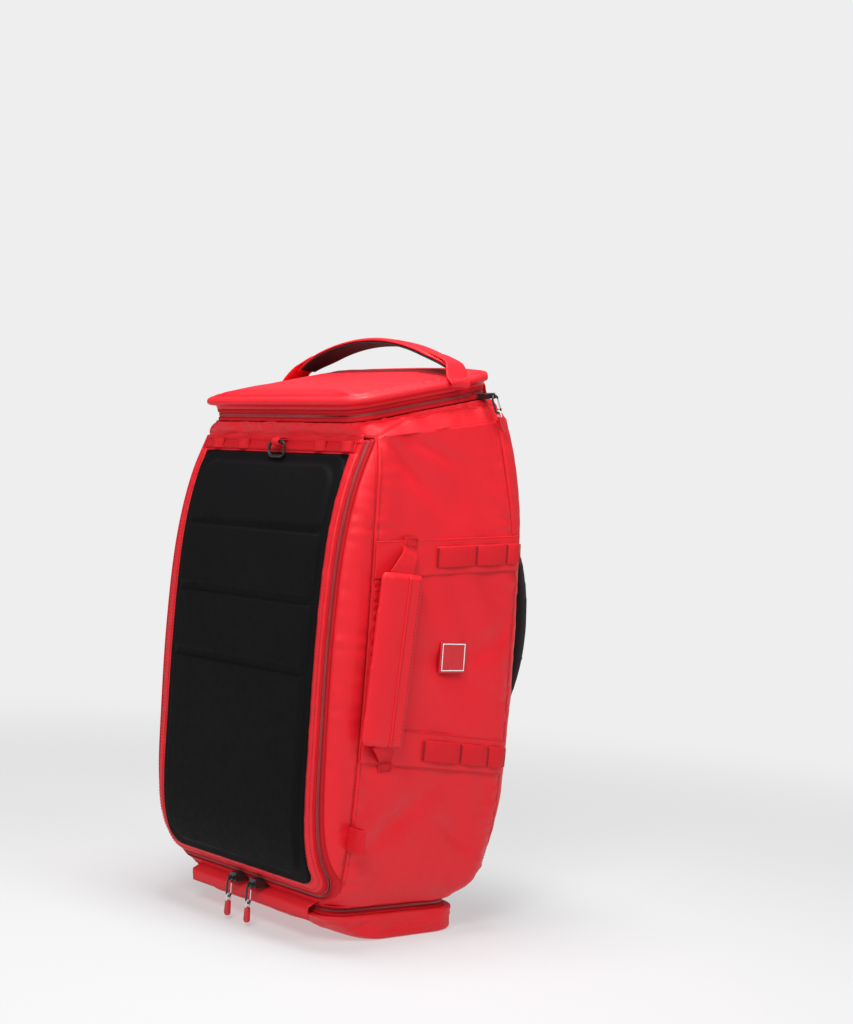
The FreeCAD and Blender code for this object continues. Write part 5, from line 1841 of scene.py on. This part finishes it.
def back_channels(points):
    """Depth of the sewn channels: one down the middle and four slanting cross lines."""
    x, z = points[:, 0], points[:, 2]
    back = back_surface(x, z)
    proud = np.clip((points[:, 1] - back[:, 1] - 0.006) / 0.004, 0, 1)
    edge = np.minimum(0.110 - np.abs(x), np.minimum(z - 0.125, 0.583 - z))
    sunk = 0.0080 * np.exp(-((x / 0.011) ** 2)) * smooth_step(edge, 0.0, 0.03)
    for level in (0.20, 0.29, 0.38, 0.47):
        sunk = np.maximum(
            sunk,
            0.0050 * np.exp(
                -(((z - level - 0.10 * np.abs(x)) / 0.0045) ** 2)
            ) * smooth_step(edge, 0.0, 0.012)
        )
    return sunk * proud


def back_sewn(points):
    """Points of the back pad on its hidden face, which lies against the shell."""
    return points[:, 1] < back_surface(points[:, 0], points[:, 2])[:, 1] + 0.0035


print("back at mid height", back_surface(0.0, 0.35))

# %% [markdown]
# ## The pad itself
# An outer and an inner sheet of the same outline make the closed pad. It is swelled, and the sewn
# channels are pressed into it afterwards, since remeshing would wash out so narrow a groove.

# %% Swelled back pad
BACK_PAD = (0.118, 0.102, 0.112, 0.596, 0.030, 240, 120)
outer = pad_sheet(*BACK_PAD, back_relief)
inner = pad_sheet(*BACK_PAD, lambda gap: 0.0010 + 0 * gap)
back_pad_piece = piece(
    "back_mesh_pad", [(outer, False, False), (inner[:, ::-1], False, False)], black_fabric, "bag",
    "black_mesh", ["back_pad"]
)
puff(back_pad_piece, back_sewn, cap=0.005, carve=back_channels)

# %% [markdown]
# ## Shoulder straps
# Each strap lies along an arc seen from the side and a gentle curve seen from behind. It is a flat
# tube with thinner seams along both edges, and it is swelled between those seams as padding is.

# %% Shoulder straps
STRAP_MIDDLE = np.array(
    [(0.046, 0.585), (0.062, 0.520), (0.084, 0.440), (0.092, 0.350), (0.088, 0.280), (0.084, 0.235)]
)
STRAP_WIDE, STRAP_THICK, STRAP_LOW, STRAP_HIGH = 0.066, 0.012, 0.2352, 0.5848
BOW = np.array([(0.1643, 0.235), (0.1983, 0.410), (0.1503, 0.585)])


def circle_through(points):
    """Centre and radius of the circle through three points."""
    (ax, ay), (bx, by), (cx, cy) = points
    d = 2 * (ax * (by - cy) + bx * (cy - ay) + cx * (ay - by))
    ux = ((ax**2 + ay**2) * (by - cy) + (bx**2 + by**2) * (cy - ay) + (cx**2 + cy**2) * (ay - by)) / d
    uy = ((ax**2 + ay**2) * (cx - bx) + (bx**2 + by**2) * (ax - cx) + (cx**2 + cy**2) * (bx - ax)) / d
    return (ux, uy), math.hypot(ax - ux, ay - uy)


(bow_y, bow_z), bow_r = circle_through(BOW + [[STRAP_THICK / 2, 0]] * 3)
strap_z = np.linspace(STRAP_LOW, STRAP_HIGH, 130)
strap_y = bow_y + np.sqrt(bow_r**2 - (strap_z - bow_z) ** 2)
strap_mid = curve_through([(x, 0, z) for x, z in STRAP_MIDDLE[::-1]], 200)
strap_x = np.interp(strap_z, strap_mid[:, 2], strap_mid[:, 0])
end = smooth_step(np.minimum(strap_z - STRAP_LOW, STRAP_HIGH - strap_z), -0.002, 0.018)
across, up = flat_loop(64, 0.55, 0.8)
seam = 1 - 0.55 * smooth_step(np.abs(across), 0.80, 0.97)
lean = np.gradient(strap_y, strap_z)
tilt = 1 / np.sqrt(1 + lean**2)
half_thick = STRAP_THICK / 2 * (0.35 + 0.65 * end)
sx = strap_x[:, None] + across[None] * (STRAP_WIDE / 2 - 0.0005)
sy = strap_y[:, None] + (up * seam)[None] * (half_thick * tilt)[:, None]
sz = strap_z[:, None] - (up * seam)[None] * (half_thick * tilt * lean)[:, None]
strap = capped(np.stack([sx, sy, sz], -1))


def strap_sewn(points):
    """Points of a shoulder strap near its long seams and its ends."""
    off = np.abs(np.abs(points[:, 0]) - np.interp(points[:, 2], strap_z, strap_x))
    return (off > STRAP_WIDE / 2 - 0.008) | (points[:, 2] < 0.243) | (points[:, 2] > 0.577)


for name, grid in (("right", strap), ("left", mirror_x(strap))):
    one = piece(
        f"{name}_padded_strap", [(grid, False, True)], black_fabric, "bag", "black_mesh",
        [f"{name}_shoulder_strap"], flip=True
    )
    puff(one, strap_sewn, cap=0.004, pressure=16.0)

# %% [markdown]
# ## Yoke, tails and chest strap
# The yoke is a sheet that covers the upper ends of the straps. Webbing runs from their lower ends
# down to the buckles, and a thinner strap joins them across the chest.

# %% Yoke and lower webbing
x = np.linspace(0.084, -0.084, 60)[None, :]
z = np.linspace(0.5852, 0.6150, 12)[:, None]
yoke = back_surface(x + 0 * z, z + 0 * x, 0.0035 + 0.012 * np.exp(-(((z + 0 * x) - 0.586) / 0.010) ** 2))
piece(
    "harness_yoke_cloth", [(yoke, False, False)], black_fabric, "bag", "black_fabric", ["harness_yoke"],
    thick=0.002
)

TAIL_X = 0.084
TAIL = (
    (0.1680, 0.240), (0.1690, 0.228), (0.1685, 0.200), (0.1655, 0.150), (0.1600, 0.118), (0.1560, 0.112)
)
for name, sign in (("right", 1), ("left", -1)):
    path = curve_through([(sign * TAIL_X, y, z) for y, z in TAIL])
    ribbon(
        path, 0.025, 0.0018, f"{name}_harness_tail", black_webbing, "bag", "black_fabric",
        ["harness_webbing"] if sign == 1 else (), side=(1, 0, 0)
    )
CHEST_Z, CHEST_HALF = 0.430, 0.096
chest = [(-CHEST_HALF, 0.2112, CHEST_Z), (0, 0.2114, CHEST_Z), (CHEST_HALF, 0.2112, CHEST_Z)]
ribbon(
    curve_through(chest, 50), 0.020, 0.0018, "chest_strap", black_webbing, "bag", "black_fabric",
    side=(0, 0, 1)
)

# %% [markdown]
# ## The shelf inside
# A padded sheet parts the upper compartment from the lower one. It is a stack of outlines drawn in
# towards the middle above and below, swelled a little between its bound edges.

# %% Padded shelf between the compartments
low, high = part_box("padded_divider")
shelf_loop = rounded_loop(
    [(high.x, high.y), (low.x, high.y), (low.x, low.y), (high.x, low.y)], [0.040, 0.040, 0.026, 0.026],
    10, 40
)


def shelf_ring(inset, height):
    """Outline of the shelf drawn in towards its middle."""
    middle = np.array([0, (low.y + high.y) / 2])
    size = np.array([high.x, (high.y - low.y) / 2])
    return np.concatenate(
        [middle + (shelf_loop - middle) * (1 - inset / size), np.full((len(shelf_loop), 1), height)], 1
    )


mid = (low.z + high.z) / 2
shelf = np.stack(
    [
        shelf_ring(i, mid + dz)
        for i, dz in (
            (0.12, -0.0042), (0.08, -0.0044), (0.04, -0.0042), (0.012, -0.0038), (0.004, -0.0028),
            (0.0005, -0.001), (0.0005, 0.001), (0.004, 0.0028), (0.012, 0.0038), (0.04, 0.0044),
            (0.08, 0.0046), (0.12, 0.0044)
        )
    ]
)
shelf_piece = piece(
    "compartment_shelf", [(capped(shelf), False, True)], grey_lining, "bag", "grey_lining",
    ["padded_divider"]
)


def shelf_sewn(points):
    """Points of the shelf near its bound edge."""
    return (
        np.abs(points[:, 0]) > high.x - 0.008
    ) | (points[:, 1] > high.y - 0.008) | (points[:, 1] < low.y + 0.008)


puff(shelf_piece, shelf_sewn, cap=0.003)

# %% [markdown]
# ## The hard pieces
# Sliders, rings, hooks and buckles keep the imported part's own meshes, because they are already exact.
# They only take a finish here.

# %% Finishes of the hard pieces
HARD = {
    "gear_hook_frame": black_plastic, "gear_hook_arm": black_metal, "harness_buckles": black_plastic,
    "base_stiffener_board": black_plastic, "back_frame_sheet": black_plastic,
}
for name in ("front_zip_left", "front_zip_right", "lid_zip"):
    HARD[name + "_slider"] = black_metal
    HARD[name + "_pull_ring"] = black_metal
    HARD[name + "_pull_gate"] = bright_wire
    HARD[name + "_pull_cord"] = white_cord
    HARD[name + "_pull_tip"] = red_rubber
for node, material in HARD.items():
    mesh = NODES[node].data
    mesh.materials.clear()
    mesh.materials.append(material)
    mesh.polygons.foreach_set("material_index", np.zeros(len(mesh.polygons), np.int32))
print("hard pieces", len(HARD))

# %% [markdown]
# ## Stitches along the shell's seams
# Each seam is topstitched beside its fold. The rows are lines on the shell's surface, and a short bar
# of thread stands at every stitch, in one mesh for all of them.

# %% Seam stitches on the shell
def upright_line(y, gap_height, z_low, z_high, count=260):
    """Line up the right side at one depth, standing just proud of the cloth."""
    z = np.linspace(z_low, z_high, count)
    line = side_surface(y + 0 * z, z, gap_height)
    return line, side_surface(y + 0 * z, z, 0.02) - line


front_lines = [
    upright_line(SEAM_Y + 0.0042, 0.0002, 0.075, 0.588),
    upright_line(SEAM_Y - 0.0040, 0.0002, 0.075, 0.585)
]
rear_line = upright_line(REAR_SEAM_Y - 0.0045, 0.0002, 0.070, 0.500)
seam_lines = front_lines + [rear_line]
shoulder_y = np.linspace(-0.104, 0.112, 200)
u = np.interp(shoulder_y, SHOULDER_Y, SHOULDER_U)
arch = []
for y, share in zip(shoulder_y, np.maximum(u - 0.12, 0.03)):
    row = SECTIONS[-1] * (1 - share) + MOUTH * share
    arch.append(around(row, distance_to_y(row, y), 0.0006))
arch = np.array(arch)
seam_lines.append((arch, np.tile([0.97, 0, 0.25], (len(arch), 1))))
stitches(
    "shell_seam_stitches", seam_lines + [(p * flip, n * flip) for p, n in seam_lines], red_thread, "bag"
)
